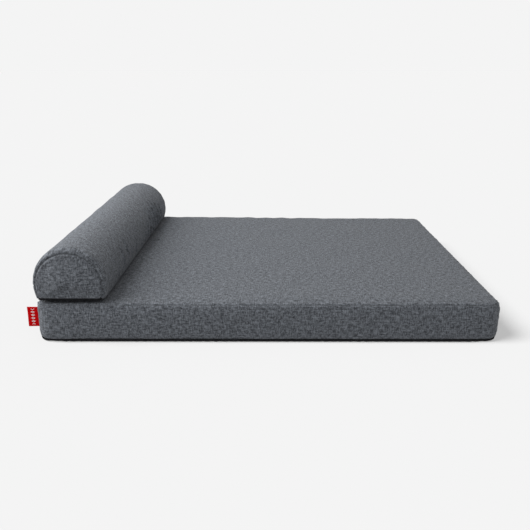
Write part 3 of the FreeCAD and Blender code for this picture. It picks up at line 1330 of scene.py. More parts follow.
    def _top_panel(self) -> None:
        """Makes the top panel, pressed down under the bolster, with a crease that starts there."""
        places, ways = self.top_places()
        grid = self.top
        around = np.arctan2(grid.y, grid.x) * 0.4 + grid.x + grid.y
        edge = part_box("bolster_base_panel")[1].x - 0.006
        folds = [
            (-0.002, 0.100, 0.062, 0.106, 0.0034, -0.0030),
            (-0.004, 0.035, 0.040, 0.030, 0.0045, -0.0013),
            (-0.004, -0.150, 0.045, -0.158, 0.0050, -0.0011),
            (-0.004, 0.215, 0.040, 0.226, 0.0045, -0.0015),
        ]
        pressed = smooth_step(grid.x, edge + 0.045, edge - 0.01) * smooth_step(grid.depth, 0.0, 0.04)
        height = self.fullness(places, ways) * (1 - pressed)
        report_swell("top_panel", height)
        height += Seam(seed=11).relief(grid.depth, around)
        height += 0.0006 * Ripple(0.16, 12).over(grid.x, grid.y) * smooth_step(grid.depth, 0.0, 0.05)
        height += 0.0005 * Ripple(0.05, 13).over(grid.x, grid.y) * np.exp(-grid.depth / 0.05)
        height -= 0.0011 * pressed
        for a, b, c, d, width, rise in folds:
            height += Crease((edge + a, b), (edge + c, d), width, rise).relief(grid.x, grid.y)
        points = raised(places, ways, height)
        piece = grid_piece("cover_top_panel", points, np.stack([grid.x, grid.y], axis=-1))
        dress(piece, COVER)
        ride_as(piece, "mattress", "top_panel")

    def _boxing(self, node: str, side: str, start: float, end: float) -> None:
        """Makes one panel of the walls.

        Args:
            node: The CAD node that it stands for.
            side: Which stretch of the edge it follows.
            start: How far down the wall it starts.
            end: How far down it ends, which is the zip where that isn't a seam.
        """
        edge, outward, sides = self.top.edge()
        picked = sides[side]
        edge, outward = edge[picked], outward[picked]
        steps = np.hypot(*np.diff(edge, axis=0).T)
        gone = np.concatenate([[0], np.cumsum(steps)])
        span = abs(end - start)
        inner = np.arange(0.010, span - 0.009, 0.004)
        share = np.sort(np.concatenate([SEAM_STEPS, inner, span - SEAM_STEPS[::-1]])) / span
        zipped = side == "rear"
        stop = np.full(len(edge), end)
        if zipped:
            mouth = (self.tape_high.z - self.tape_low.z) / 2
            stop = zip_mouth(end, start, edge[:, 0], (self.tape_high.x, mouth))
        lengths = start + share[:, None] * (stop - start)[None, :]
        places, ways = self.wall_places(edge, outward, lengths)
        along = np.broadcast_to(gone, lengths.shape)
        from_start = np.abs(lengths - start)
        from_end = np.abs(stop[None, :] - lengths)
        height = self.fullness(places, ways)
        height += Seam(seed=len(node)).relief(from_start, along)
        far_seam = Seam(depth=0.0008, roll=0.0007, gather=0.0002) if zipped else Seam(seed=len(node) + 30)
        height += far_seam.relief(from_end, along)
        upright = Seam(depth=0.0010, width=0.0016, gather=0.0006, gather_reach=0.012, seed=len(node) + 60)
        height += upright.relief(along, lengths) + upright.relief(gone[-1] - along, lengths)
        height += 0.0006 * Ripple(0.11, len(node) + 5).over(along, lengths) * smooth_step(from_start, 0, 0.02)
        points = raised(places, ways, height)
        cloth = np.stack([along, lengths], axis=-1)
        piece = grid_piece("cover_" + node, points, cloth, flip=start <= end)
        dress(piece, COVER)
        ride_as(piece, "mattress", node)
        if zipped:
            row = int(np.argmin(np.abs(share * span - (span - TOPSTITCH_GAP))))
            held = np.abs(edge[:, 0]) < self.tape_high.x
            out = ways[row][held]
            sew("topstitch_" + node, points[row][held] + out * THREAD_LIFT, out, "mattress")

    def _seam_threads(self) -> None:
        """Sews the stitches that show in the top and base seams, round the whole mattress."""
        edge, outward, _ = self.top.edge()
        edge = np.concatenate([edge, edge[:1]])
        outward = np.concatenate([outward, outward[:1]])
        for name, length in (("seam_thread_top", 0.0), ("seam_thread_base", self.wall_length)):
            places, ways = self.wall_places(edge, outward, np.full((1, len(edge)), length))
            height = self.fullness(np.repeat(places, 3, axis=0), np.repeat(ways, 3, axis=0))[1]
            depth = np.maximum(height - Seam.depth, DEEPEST) + THREAD_LIFT
            sew(name, places[0] + ways[0] * depth[:, None], ways[0], "mattress")

    def _base_panel(self) -> None:
        """Makes the black base panel, flat on the floor."""
        grid = self._grid(self.base_inset)
        places, ways = self.base_places(grid)
        height = Seam(depth=0.0009, seed=21).relief(grid.depth, grid.x + grid.y)
        height *= smooth_step(grid.depth, 0.016, 0.008)
        points = places + ways * height[..., None]
        points[..., 2] = np.maximum(points[..., 2], 0.0005)
        piece = grid_piece("cover_base_panel", points, np.stack([grid.x, grid.y], axis=-1), flip=True)
        dress(piece, BASE)
        ride_as(piece, "mattress", "base_panel")

    def _grip_dots(self) -> None:
        """Prints staggered rows of small rubber dots under the base, which touch the floor."""
        pitch, margin, sides = 0.013, 0.03, 7
        turn = np.arange(sides) * 2 * math.pi / sides
        rim, crown = (
            np.stack([radius * np.cos(turn), radius * np.sin(turn), np.full(sides, height)], axis=1)
            for radius, height in ((0.0024, 0.0006), (0.0014, 0.0))
        )
        faces = grid_faces(2, sides, flip=True, closed=True)
        faces.append(tuple(reversed(range(sides, 2 * sides))))
        rows = np.arange(-self.half_y + margin, self.half_y - margin, pitch * math.sqrt(3) / 2)
        spots = [
            (x + (number % 2) * pitch / 2, y, 0.0)
            for number, y in enumerate(rows)
            for x in np.arange(-self.half_x + margin, self.half_x - margin - pitch / 2, pitch)
        ]
        turns = np.broadcast_to(np.eye(3), (len(spots), 3, 3))
        dot = (np.concatenate([rim, crown]), faces)
        piece = repeated_piece("base_grip_dots", dot, np.array(spots), turns)
        dress(piece, RUBBER)
        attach(piece, "mattress")


# ---------------- the bolster


@dataclass
class Bolster:
    """The D-section bolster in its sewn cover.

    Attributes:
        side_r: The radius of its leaning sides.
        corner_r: The radius of its base corners.
        end_r: The radius of its ends' rims.
        spare: How much fuller the foam is than the bolster's plain shape.
        crown: How much further its end panels bulge.
        spread: How much wider it is at the far end, and narrower at the near one.
        droop: How much lower it is at the far end, and higher at the near one.
        filling: How its foam swells the cover.
    """

    side_r: float = 0.090
    corner_r: float = 0.012
    end_r: float = 0.011
    spare: float = 0.0028
    crown: float = 0.0078
    spread: float = 0.0030
    droop: float = 0.0022
    filling: Filling = Filling(0.005, 0.0008, 12.0, 0.0, 0.0030, 0.0085)

    def __post_init__(self) -> None:
        """Takes its size and seams from the CAD nodes."""
        wrap_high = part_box("bolster_wrap")[1]
        base_low, base_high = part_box("bolster_base_panel")
        self.centre = (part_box("bolster_zip_strip")[0].x + wrap_high.x) / 2
        self.half_w = wrap_high.x - self.centre
        self.floor = base_low.z
        self.seam = base_high.z - base_low.z
        self.end_seam = wrap_high.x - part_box("bolster_rear_end")[1].x
        self.half_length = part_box("bolster_rear_end")[1].y
        self.side_h = wrap_high.z - base_low.z - self.half_w
        self.tape_low, self.tape_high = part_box("bolster_zip_tape")
        self._profile()
        self.tree: BVHTree | None = None

    def _profile(self) -> None:
        """Lays out the D section by cloth length: from the right base seam over the top, and round."""
        side_x = self.half_w - self.side_r
        drop = self.side_h - self.corner_r
        reach = self.side_r - self.corner_r
        lean = math.asin(drop / reach)
        corner_x = side_x + math.sqrt(reach**2 - drop**2)
        sewn = math.asin((self.corner_r - self.seam) / self.corner_r)
        half = math.pi
        arcs = [
            (corner_x, self.corner_r, self.corner_r, -sewn, -lean, 8),
            (side_x, self.side_h, self.side_r, -lean, 0.0, 14),
            (0.0, self.side_h, self.half_w, 0.0, half, 80),
            (-side_x, self.side_h, self.side_r, half, half + lean, 14),
            (-corner_x, self.corner_r, self.corner_r, half + lean, half + sewn, 8),
            (-corner_x, self.corner_r, self.corner_r, half + sewn, 1.5 * half, 10),
            (corner_x, self.corner_r, self.corner_r, 1.5 * half, 2 * half - sewn, 10),
        ]
        x, z, turn = [], [], []
        for across, up, radius, start, end, count in arcs:
            angle = np.linspace(start, end, count)
            x.append(across + radius * np.cos(angle))
            z.append(up + radius * np.sin(angle))
            turn.append(angle)
        self.ring = {"x": np.concatenate(x), "z": np.concatenate(z), "turn": np.concatenate(turn)}
        steps = np.hypot(np.diff(self.ring["x"]), np.diff(self.ring["z"]))
        self.ring_u = np.concatenate([[0], np.cumsum(steps)])
        ends = np.cumsum([arc[-1] for arc in arcs]) - 1
        self.left_seam = float(self.ring_u[ends[4]])
        self.right_seam = float(self.ring_u[-1])
        self.zip_u = float(self.ring_u[ends[2]])

    def ring_places(self, lengths: Array, y: Array, inset: Array, lean: Array) -> tuple[Array, Array]:
        """Gives the plain shape of a stretch of the cover.

        Args:
            lengths: How far round the section each point is.
            y: Where it is along the bolster.
            inset: How far inside the section, near a rounded end.
            lean: How far its outward direction turns towards the nearer end.

        Returns:
            Places and outward directions.
        """
        turn = np.interp(lengths, self.ring_u, self.ring["turn"])
        x = np.interp(lengths, self.ring_u, self.ring["x"]) - np.cos(turn) * inset
        z = np.interp(lengths, self.ring_u, self.ring["z"]) - np.sin(turn) * inset
        places = np.stack([self.centre + x, y, self.floor + z], axis=-1)
        upright = np.cos(lean)
        ways = np.stack(
            [np.cos(turn) * upright, np.sign(y) * np.sin(lean), np.sin(turn) * upright], axis=-1
        )
        return places, ways

    def stations(self, step: float = CLOTH_STEP) -> tuple[Array, Array, Array, Array]:
        """Lists the rows along the bolster between its end seams.

        Args:
            step: The spacing of the rows away from the ends.

        Returns:
            For each row: y, inset, lean, and the cloth length along the bolster.
        """
        last = math.acos(1 - self.end_seam / self.end_r)
        lean = np.array([1.0, 0.94, 0.86, 0.77, 0.66, 0.53, 0.38, 0.2]) * last
        straight = self.half_length - self.end_r
        near = np.array([0.0, 0.002, 0.005])
        count = round(2 * (straight - 0.009) / step)
        middle = np.linspace(-straight + 0.009, straight - 0.009, count + 1)
        y_end = straight + self.end_r * np.sin(lean)
        y = np.concatenate([-y_end, -straight + near, middle, straight - near[::-1], y_end[::-1]])
        gap = np.zeros(len(y) - 2 * len(lean))
        every = np.concatenate([lean, gap, lean[::-1]])
        inset = self.end_r * (1 - np.cos(every))
        steps = np.hypot(np.diff(y), np.diff(inset))
        gone = np.concatenate([[0], np.cumsum(steps)])
        return y, inset, every, gone - gone[-1] / 2

    def fullness(self, ways: Array, y: Array) -> Array:
        """Gives how much fuller the filling is than its plain shape, and wider at the far end.

        Args:
            ways: The outward directions.
            y: The places along the bolster.

        Returns:
            Heights.
        """
        far = y / self.half_length
        sides = np.abs(ways[..., 0]) * self.spread * far
        crown = np.clip(ways[..., 2], 0, 1) * self.droop * far
        return self.spare * smooth_step(ways[..., 2], -0.95, -0.35) + sides - crown

    def end_rings(self, side: int) -> tuple[Array, Array, Array]:
        """Lays out an end panel as rings from its seam to its middle.

        Args:
            side: -1 for the near end and 1 for the far one.

        Returns:
            Places and outward directions by ring and place round it, and the cloth lengths in from the seam.
        """
        lengths = np.linspace(0, self.right_seam, 130)
        first = math.acos(1 - self.end_seam / self.end_r)
        straight = self.half_length - self.end_r
        places, ways, deep = [], [], []
        for lean in np.linspace(first, math.pi / 2, 6):
            inset = np.full_like(lengths, self.end_r * (1 - math.cos(lean)))
            y = np.full_like(lengths, side * (straight + self.end_r * math.sin(lean)))
            place, way = self.ring_places(lengths, y, inset, np.full_like(lengths, lean))
            places.append(place)
            ways.append(way)
            deep.append(np.full_like(lengths, (lean - first) * self.end_r))
        rim = places[-1]
        middle = np.array([self.centre, side * self.half_length, self.floor + self.side_h + 0.010])
        size = np.linalg.norm(rim - middle, axis=1)
        for share in np.concatenate([[0.985, 0.965, 0.94], np.linspace(0.9, 0.02, 13)]):
            places.append(middle + (rim - middle) * share)
            ways.append(np.broadcast_to(np.array([0.0, side, 0.0]), rim.shape))
            deep.append(deep[5] + size * (1 - share))
        return np.array(places), np.array(ways), np.array(deep)

    def swell(self) -> None:
        """Runs the cloth simulation of the whole cover, held at its seams and its flat base."""
        y, inset, lean, _ = self.stations()
        lengths = np.linspace(0, self.right_seam, 90)[:-1]
        rows = np.ones((len(y), len(lengths)))
        tube, tube_ways = self.ring_places(
            rows * lengths, rows * y[:, None], rows * inset[:, None], rows * lean[:, None]
        )
        shrink = self.filling.inset
        points = [(tube - tube_ways * shrink).reshape(-1, 3)]
        faces = grid_faces(*tube.shape[:2], flip=False, closed=True)
        rims = []
        for side in (-1, 1):
            ends, ways, _ = self.end_rings(side)
            shift = sum(len(p) for p in points)
            points.append((ends - ways * shrink).reshape(-1, 3))
            faces += [tuple(v + shift for v in f) for f in grid_faces(*ends.shape[:2], flip=side > 0)]
            last = shift + (len(ends) - 1) * ends.shape[1]
            faces.append(tuple(range(last, last + ends.shape[1] - 1)))
            rims.append(ends[0] - ways[0] * shrink)
        reach = self.half_length - self.end_r
        seam_y = np.linspace(-reach, reach, 300)
        seams = [self._unswollen(np.array([length]), seam_y) for length in (0.0, self.left_seam, self.zip_u)]
        base_lengths = np.arange(self.left_seam + 0.01, self.right_seam - 0.01, 0.004)
        base_y = np.arange(-self.half_length + 0.02, self.half_length - 0.02, 0.004)
        held = np.concatenate([*seams, *rims, self._unswollen(base_lengths, base_y)])
        self.tree = self.filling.settle("bolster_swell", np.concatenate(points), faces, held)

    def _unswollen(self, lengths: Array, y: Array) -> Array:
        """Gives a grid of points on the cover before it swells, one row each."""
        across, along = np.meshgrid(lengths, y)
        places, ways = self.ring_places(across, along, across * 0, across * 0)
        return (places - ways * self.filling.inset).reshape(-1, 3)

    def build(self) -> None:
        """Makes every panel of the cover and its seams."""
        self.swell()
        self._tube_panel("bolster_wrap", 0.0, self.zip_u, "grey_fabric")
        self._tube_panel("bolster_zip_strip", self.left_seam, self.zip_u, "grey_fabric")
        self._tube_panel("bolster_base_panel", self.left_seam, self.right_seam, "base_fabric")
        for side, node in ((-1, "bolster_front_end"), (1, "bolster_rear_end")):
            self._end_panel(node, side)

    def creases(self) -> list[Crease]:
        """Lists the folds of the wrap, as lengths round the section and along the bolster."""
        folds = [
            (0.010, 0.072, 0.074, 0.084, 0.0048, 0.0030),
            (0.006, 0.106, 0.092, 0.124, 0.0046, 0.0038),
            (0.008, 0.140, 0.098, 0.152, 0.0046, 0.0042),
            (0.006, 0.172, 0.100, 0.178, 0.0046, 0.0042),
            (0.010, 0.204, 0.094, 0.202, 0.0046, 0.0038),
            (0.008, 0.234, 0.084, 0.225, 0.0048, 0.0032),
            (0.012, 0.266, 0.076, 0.254, 0.0052, 0.0026),
            (0.008, 0.040, 0.058, 0.050, 0.0052, 0.0020),
            (0.008, -0.002, 0.050, 0.006, 0.0060, 0.0013),
            (0.008, -0.068, 0.055, -0.060, 0.0060, 0.0013),
            (0.030, -0.146, 0.084, -0.153, 0.0054, 0.0020),
            (0.026, -0.186, 0.076, -0.195, 0.0054, 0.0020),
            (0.006, -0.240, 0.045, -0.232, 0.0060, 0.0013),
        ]
        return [Crease((a, b), (c, d), width, height) for a, b, c, d, width, height in folds]

    def _tube_panel(self, node: str, start: float, end: float, slot: str) -> None:
        """Makes one panel that runs the length of the bolster.

        Args:
            node: The CAD node that it stands for.
            start: The seam that it starts at, as a length round the section.
            end: The seam or zip that it ends at.
            slot: Which cloth it wears: base_fabric for the black base cloth, else the grey cover cloth.
        """
        y, inset, lean, along = self.stations(0.0026)
        span = abs(end - start)
        inner = np.arange(0.009, span - 0.008, 0.0032)
        share = np.concatenate([SEAM_STEPS, inner, span - SEAM_STEPS[::-1]]) / span
        stop = np.full(len(y), end)
        zipped = end == self.zip_u
        if zipped:
            mouth = (self.tape_high.z - self.tape_low.z) / 2
            stop = zip_mouth(end, start, y, (self.tape_high.y, mouth))
        lengths = start + share[None, :] * (stop - start)[:, None]
        rows = np.ones_like(lengths)
        runs, y_at, inset_at, lean_at = (rows * row[:, None] for row in (along, y, inset, lean))
        places, ways = self.ring_places(lengths, y_at, inset_at, lean_at)
        height = swell_at(self.tree, places, ways)
        report_swell(node, height)
        height += self.fullness(ways, y_at)
        zip_near = smooth_step(np.abs(lengths - self.zip_u), 0.036, 0.012)
        zip_near *= smooth_step(np.abs(y_at), self.tape_high.y + 0.020, self.tape_high.y - 0.004)
        height *= 1 - zip_near
        from_ends = np.minimum(runs - along[0], along[-1] - runs)
        rim = Seam(0.0026, 0.0017, roll=0.0008, gather=0.0005, gather_length=0.018, gather_reach=0.012)
        height += rim.relief(from_ends, lengths)
        height += Seam(seed=41).relief(np.abs(lengths - start), runs)
        far_seam = Seam(depth=0.0006, roll=0.0006, gather=0.0002) if zipped else Seam(seed=42)
        height += far_seam.relief(np.abs(stop[:, None] - lengths), runs)
        height += 0.0003 * Ripple(0.10, 43).over(lengths, runs) * smooth_step(from_ends, 0, 0.03)
        if node == "bolster_wrap":
            for crease in self.creases():
                height += crease.relief(lengths, runs)
            height += self._pinch(lengths, runs, along[0])
        points = raised(places, ways, height)
        if slot == "base_fabric":
            points[..., 2] = np.maximum(points[..., 2], self.floor)
        cloth = np.stack([lengths, runs], axis=-1)
        piece = grid_piece("cover_" + node, points, cloth, flip=start > end)
        dress(piece, BASE if slot == "base_fabric" else COVER)
        ride_as(piece, "bolster", node)
        if zipped:
            column = int(np.argmin(np.abs(share * span - (span - TOPSTITCH_GAP))))
            held = np.abs(y) < self.tape_high.y
            out = ways[:, column][held]
            sew("topstitch_" + node, points[:, column][held] + out * THREAD_LIFT, out, "bolster")

    def _pinch(self, lengths: Array, runs: Array, near_end: float) -> Array:
        """Draws the wrap in at one place of its near rim, where the seam catches the cloth."""
        caught = self.zip_u * 0.30
        aside = (lengths - caught) / 0.010
        deep = (runs - near_end) / 0.009
        return -0.0026 * np.exp(-(aside**2)) * np.exp(-((deep - 0.5) ** 2))

    def _end_panel(self, node: str, side: int) -> None:
        """Makes one crowned end panel.

        Args:
            node: The CAD node that it stands for.
            side: -1 for the near end and 1 for the far one.
        """
        places, ways, deep = self.end_rings(side)
        around = np.broadcast_to(np.linspace(0, self.right_seam, places.shape[1]), deep.shape)
        height = swell_at(self.tree, places, ways)
        report_swell(node, height)
        height += self.fullness(ways, places[..., 1]) + self.crown * smooth_step(deep, 0.0, 0.055)
        rim = Seam(0.0026, 0.0017, gather=0.0005, gather_reach=0.010, seed=51)
        height += rim.relief(deep, around)
        waves = Ripple(0.05, 52 + side).over(places[..., 0], places[..., 2])
        height += 0.0005 * waves * smooth_step(deep, 0, 0.02)
        height[:, -1] = height[:, 0]
        points = raised(places, ways, height)
        cloth = np.stack([places[..., 0], places[..., 2]], axis=-1)
        rings, count = points.shape[:2]
        faces = grid_faces(rings, count, flip=side > 0)
        last = (rings - 1) * count
        cap = tuple(range(last, last + count - 1))
        faces.append(cap if side < 0 else tuple(reversed(cap)))
        piece = mesh_piece("cover_" + node, points.reshape(-1, 3), faces, cloth.reshape(-1, 2))
        dress(piece, COVER)
        ride_as(piece, "bolster", node)
        sew("seam_thread_" + node, points[0] + ways[0] * THREAD_LIFT, ways[0], "bolster")


# ---------------- zips, label and fastening


class Travel(Enum):
    """The way that a zip runs, as its direction of travel and its outward direction."""

    ALONG_X = ((1.0, 0.0, 0.0), (0.0, 1.0, 0.0))
    ALONG_Y = ((0.0, 1.0, 0.0), (-1.0, 0.0, 0.0))


@dataclass
class Zip:
    """A coil zip with its tape, chain, stops, slider and pull.

    Attributes:
        prefix: What its CAD nodes' names start with.
        body: The CAD body that its tape rides on.
        travel: The way that it runs.
        pitch: The spacing of its coils.
    """

    prefix: str
    body: str
    travel: Travel
    pitch: float = 0.0015

    def __post_init__(self) -> None:
        """Takes its place and size from the CAD nodes."""
        self.forward = np.array(self.travel.value[0])
        self.outward = np.array(self.travel.value[1])
        self.up = np.array([0.0, 0.0, 1.0])
        low, high = (np.array(corner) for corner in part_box(self.prefix + "_zip_chain"))
        self.middle = (low + high) / 2
        self.half_run = float(abs((high - low) @ self.forward)) / 2
        self.width = float(high[2] - low[2])
        self.thickness = float(abs((high - low) @ self.outward))
        self.middle -= self.outward * self.thickness / 2
        tape_low, tape_high = (np.array(corner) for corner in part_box(self.prefix + "_zip_tape"))
        self.tape_half = float(abs((tape_high - tape_low) @ self.forward)) / 2
        self.tape_width = float(tape_high[2] - tape_low[2])

    def build(self) -> None:
        """Makes the tape and the coils, and finishes the metal parts."""
        self._tape()
        self._coils()
        self._cord_stitching()
        for part in ("stops", "slider", "pull"):
            dress_node(f"{self.prefix}_zip_{part}", ENAMEL)

    def place(self, along: Array, up: Array, out: Array) -> Array:
        """Gives places in the zip's own lengths: along it, up across it and out from it."""
        return (
            self.middle
            + along[..., None] * self.forward
            + up[..., None] * self.up
            + out[..., None] * self.outward
        )

    def _tape(self) -> None:
        """Makes the woven tape with its two raised cords and a slit in the middle."""
        along = np.linspace(-self.tape_half, self.tape_half, round(self.tape_half / 0.002))
        half = self.tape_width / 2
        up = np.concatenate([np.linspace(-half - 0.001, -0.0001, 16), np.linspace(0.0001, half + 0.001, 16)])
        runs, across = np.meshgrid(along, up, indexing="ij")
        ridge = 0.00035 * np.exp(-(((np.abs(across) - 0.0036) / 0.0007) ** 2))
        ends = smooth_step(np.abs(runs), self.tape_half, self.tape_half - 0.004) - 1
        edges = smooth_step(np.abs(across), half - 0.001, half + 0.001)
        out = -0.0004 + ridge + 0.0008 * ends - 0.0006 * edges
        points = self.place(runs, across, out)
        flip = self.travel is Travel.ALONG_Y
        piece = grid_piece(f"{self.prefix}_tape", points, np.stack([runs, across], axis=-1), flip=not flip)
        dress(piece, TAPE)
        ride_as(piece, self.body, self.prefix + "_zip_tape")

    def _coils(self) -> None:
        """Makes the two rows of interlocked coils, each a short bar that leans with the spiral."""
        count = int(2 * self.half_run / self.pitch)
        along = (np.arange(count) + 0.5) * self.pitch - self.half_run
        bar = capsule(self.width * 0.56, self.pitch * 0.62, self.thickness * 0.94, sides=8)
        places, turns = [], []
        for side in (-1, 1):
            shift = np.full(count, side * self.width * 0.215)
            runs = along + (0.25 * side * self.pitch)
            places.append(self.place(runs, shift, np.full(count, self.thickness * 0.5)))
            lean = 0.16 * side
            forward = self.up * math.cos(lean) + self.forward * math.sin(lean)
            turn = axes_from(forward[None, :], self.outward[None, :])
            turns.append(np.broadcast_to(turn, (count, 3, 3)))
        piece = repeated_piece(f"{self.prefix}_coils", bar, np.concatenate(places), np.concatenate(turns))
        dress(piece, COIL)
        ride_as(piece, self.body, self.prefix + "_zip_chain")

    def _cord_stitching(self) -> None:
        """Sews the two rows of stitches that hold the coils to the tape."""
        along = np.arange(-self.half_run, self.half_run, 0.004)
        for side, name in ((-1, "lower"), (1, "upper")):
            up = np.full_like(along, side * (self.width / 2 + 0.0009))
            line = self.place(along, up, np.full_like(along, -0.0001))
            ways = np.broadcast_to(self.outward, line.shape)
            sew(f"{self.prefix}_coil_stitches_{name}", line, ways, self.body, pitch=0.0022)


@dataclass
class SideLabel:
    """The folded woven label in the mattress's left wall.

    Attributes:
        ply: The thickness of one of its two layers.
        tuck: How far it reaches into the seam.
        wave: How far its fold waves to the side.
        bend_start: How far from its root the bend starts; not used.
        bend_end: How far from its root the bend ends; not used.
    """

    ply: float = 0.00034
    tuck: float = 0.0026
    wave: float = 0.0009
    bend_start: float = 0.0022
    bend_end: float = 0.0062

    def build(self) -> None:
        """Makes the folded strip, with a soft wave."""
        low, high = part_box("woven_label")
        root = high.x + self.tuck
        y = (low.y + high.y) / 2
        reach = root - low.x
        half_gap = (high.y - low.y) / 2 - self.ply / 2
        flat = np.linspace(0, reach - half_gap - self.ply / 2, 24)
        fold = np.linspace(0, math.pi, 8)[1:-1]
        out = np.concatenate([flat, flat[-1] + half_gap * np.sin(fold), flat[::-1]])
        aside = np.concatenate([np.full(24, -half_gap), -half_gap * np.cos(fold), np.full(24, half_gap)])
        steps = np.hypot(np.diff(out), np.diff(aside))
        gone = np.concatenate([[0], np.cumsum(steps)])
        worn = np.minimum(gone, gone[-1] - gone)
        up = np.linspace(low.z, high.z, 34)
        rows, columns = np.meshgrid(up, np.arange(len(out)), indexing="ij")
        reach_at = out[columns] / reach
        middle = (low.z + high.z) / 2
        wave = self.wave * reach_at**2 * np.sin((rows - middle) / (high.z - low.z) * 4.2 + 0.6)
        points = np.stack([root - out[columns], y + aside[columns] + wave, rows], axis=-1)
        cloth = np.stack([worn[columns], rows - middle], axis=-1)
        piece = grid_piece("side_label", points, cloth, flip=True)
        thick = piece.modifiers.new("ply", "SOLIDIFY")
        thick.thickness = self.ply
        thick.offset = 0.0
        piece.data = applied_mesh(piece)
        piece.data.shade_smooth()
        piece.modifiers.clear()
        finish = LabelWeave(
            "damask_label", grey(0.44, 0.0, 0.0012), grey(0.62, 0.60, 0.60), reach, high.z - low.z
        )
        dress(piece, finish)
        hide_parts("woven_label")
        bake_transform(piece)


@dataclass
class Fastening:
    """The hook-and-loop strips between the mattress and the bolster.

    Attributes:
        pitch: The spacing of the hooks.
        width: The width of one strip.
    """

    pitch: float = 0.0021
    width: float = 0.025

    def _strips(self, node: str) -> list[tuple[Vector, Vector]]:
        """Splits the two strips' common box into one box for each strip."""
        low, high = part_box(node)
        return [
            (low, Vector((low.x + self.width, high.y, high.z))),
            (Vector((high.x - self.width, low.y, low.z)), high),
        ]

    def build(self) -> None:
        """Makes the loop pile on the mattress and the hooks under the bolster."""
        for side, (low, high) in zip(("left", "right"), self._strips("loop_strips")):
            self._backing(f"loop_strip_{side}", low, high, 1, PILE, "mattress", "loop_strips")
        for side, (low, high) in zip(("left", "right"), self._strips("hook_strips")):
            self._backing(f"hook_strip_{side}", low, high, -1, TAPE, "bolster", "hook_strips")
            self._hooks(f"hooks_{side}", low, high)

    def _backing(
        self, name: str, low: Vector, high: Vector, way: int, finish: Cloth, body: str, node: str
    ) -> None:
        """Makes one strip: a thin selvedge, and pile where it has loops.

        Args:
            name: The piece's name.
            low: The strip's lowest corner.
            high: Its highest corner.
            way: 1 if it faces up and -1 if it faces down.
            finish: What it is finished in.
            body: The CAD body that it rides on.
            node: The CAD node that it stands for.
        """
        step = 0.0016 if way > 0 else 0.004
        grid = Rounded((high.x - low.x) / 2, (high.y - low.y) / 2, 0.003, step)
        middle = (low + high) / 2
        pile = 0.0010 if way > 0 else 0.0004
        tuft = Ripple(0.0021, 71, strands=14).over(grid.x, grid.y) if way > 0 else np.zeros_like(grid.x)
        selvedge = 0.0003
        lift = smooth_step(grid.depth, 0.0, 0.0004) * selvedge
        lift += smooth_step(grid.depth, 0.0012, 0.0026) * (pile - selvedge)
        lift = np.clip(lift * (1 + 0.16 * tuft), 0, high.z - low.z - 0.0001)
        floor = low.z if way > 0 else high.z
        points = np.stack([middle.x + grid.x, middle.y + grid.y, floor + way * lift], axis=-1)
        piece = grid_piece(name, points, np.stack([grid.x, grid.y], axis=-1), flip=way < 0)
        dress(piece, finish)
        ride_as(piece, body, node)

    def _hooks(self, name: str, low: Vector, high: Vector) -> None:
        """Makes the field of short nylon hooks on one strip."""
        xs = np.arange(low.x + 0.003, high.x - 0.0025, self.pitch)
        ys = np.arange(low.y + 0.004, high.y - 0.003, self.pitch)
        x, y = np.meshgrid(xs, ys)
        stem = capsule(0.00085, 0.0005, 0.0005, sides=4)
        turn = axes_from(np.array([[0.0, 0.24, -0.971]]), np.array([[0.0, 0.971, 0.24]]))
        places = np.stack([x.ravel(), y.ravel(), np.full(x.size, high.z - 0.00068)], axis=1)
        piece = repeated_piece(name, stem, places, np.broadcast_to(turn, (x.size, 3, 3)))
        dress(piece, HOOKS)
        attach(piece, "bolster")


FILLINGS = {
    "base_foam": BASE_FOAM,
    "memory_foam": MEMORY_FOAM,
    "bolster_core": BOLSTER_FOAM,
    "mattress_liner": LINER,
    "bolster_liner": LINER,
}


def dress_filling() -> None:
    """Finishes the foam and the liners, which keep their CAD shapes inside the covers."""
    for node, finish in FILLINGS.items():
        dress_node(node, finish)


# ---------------- the studio


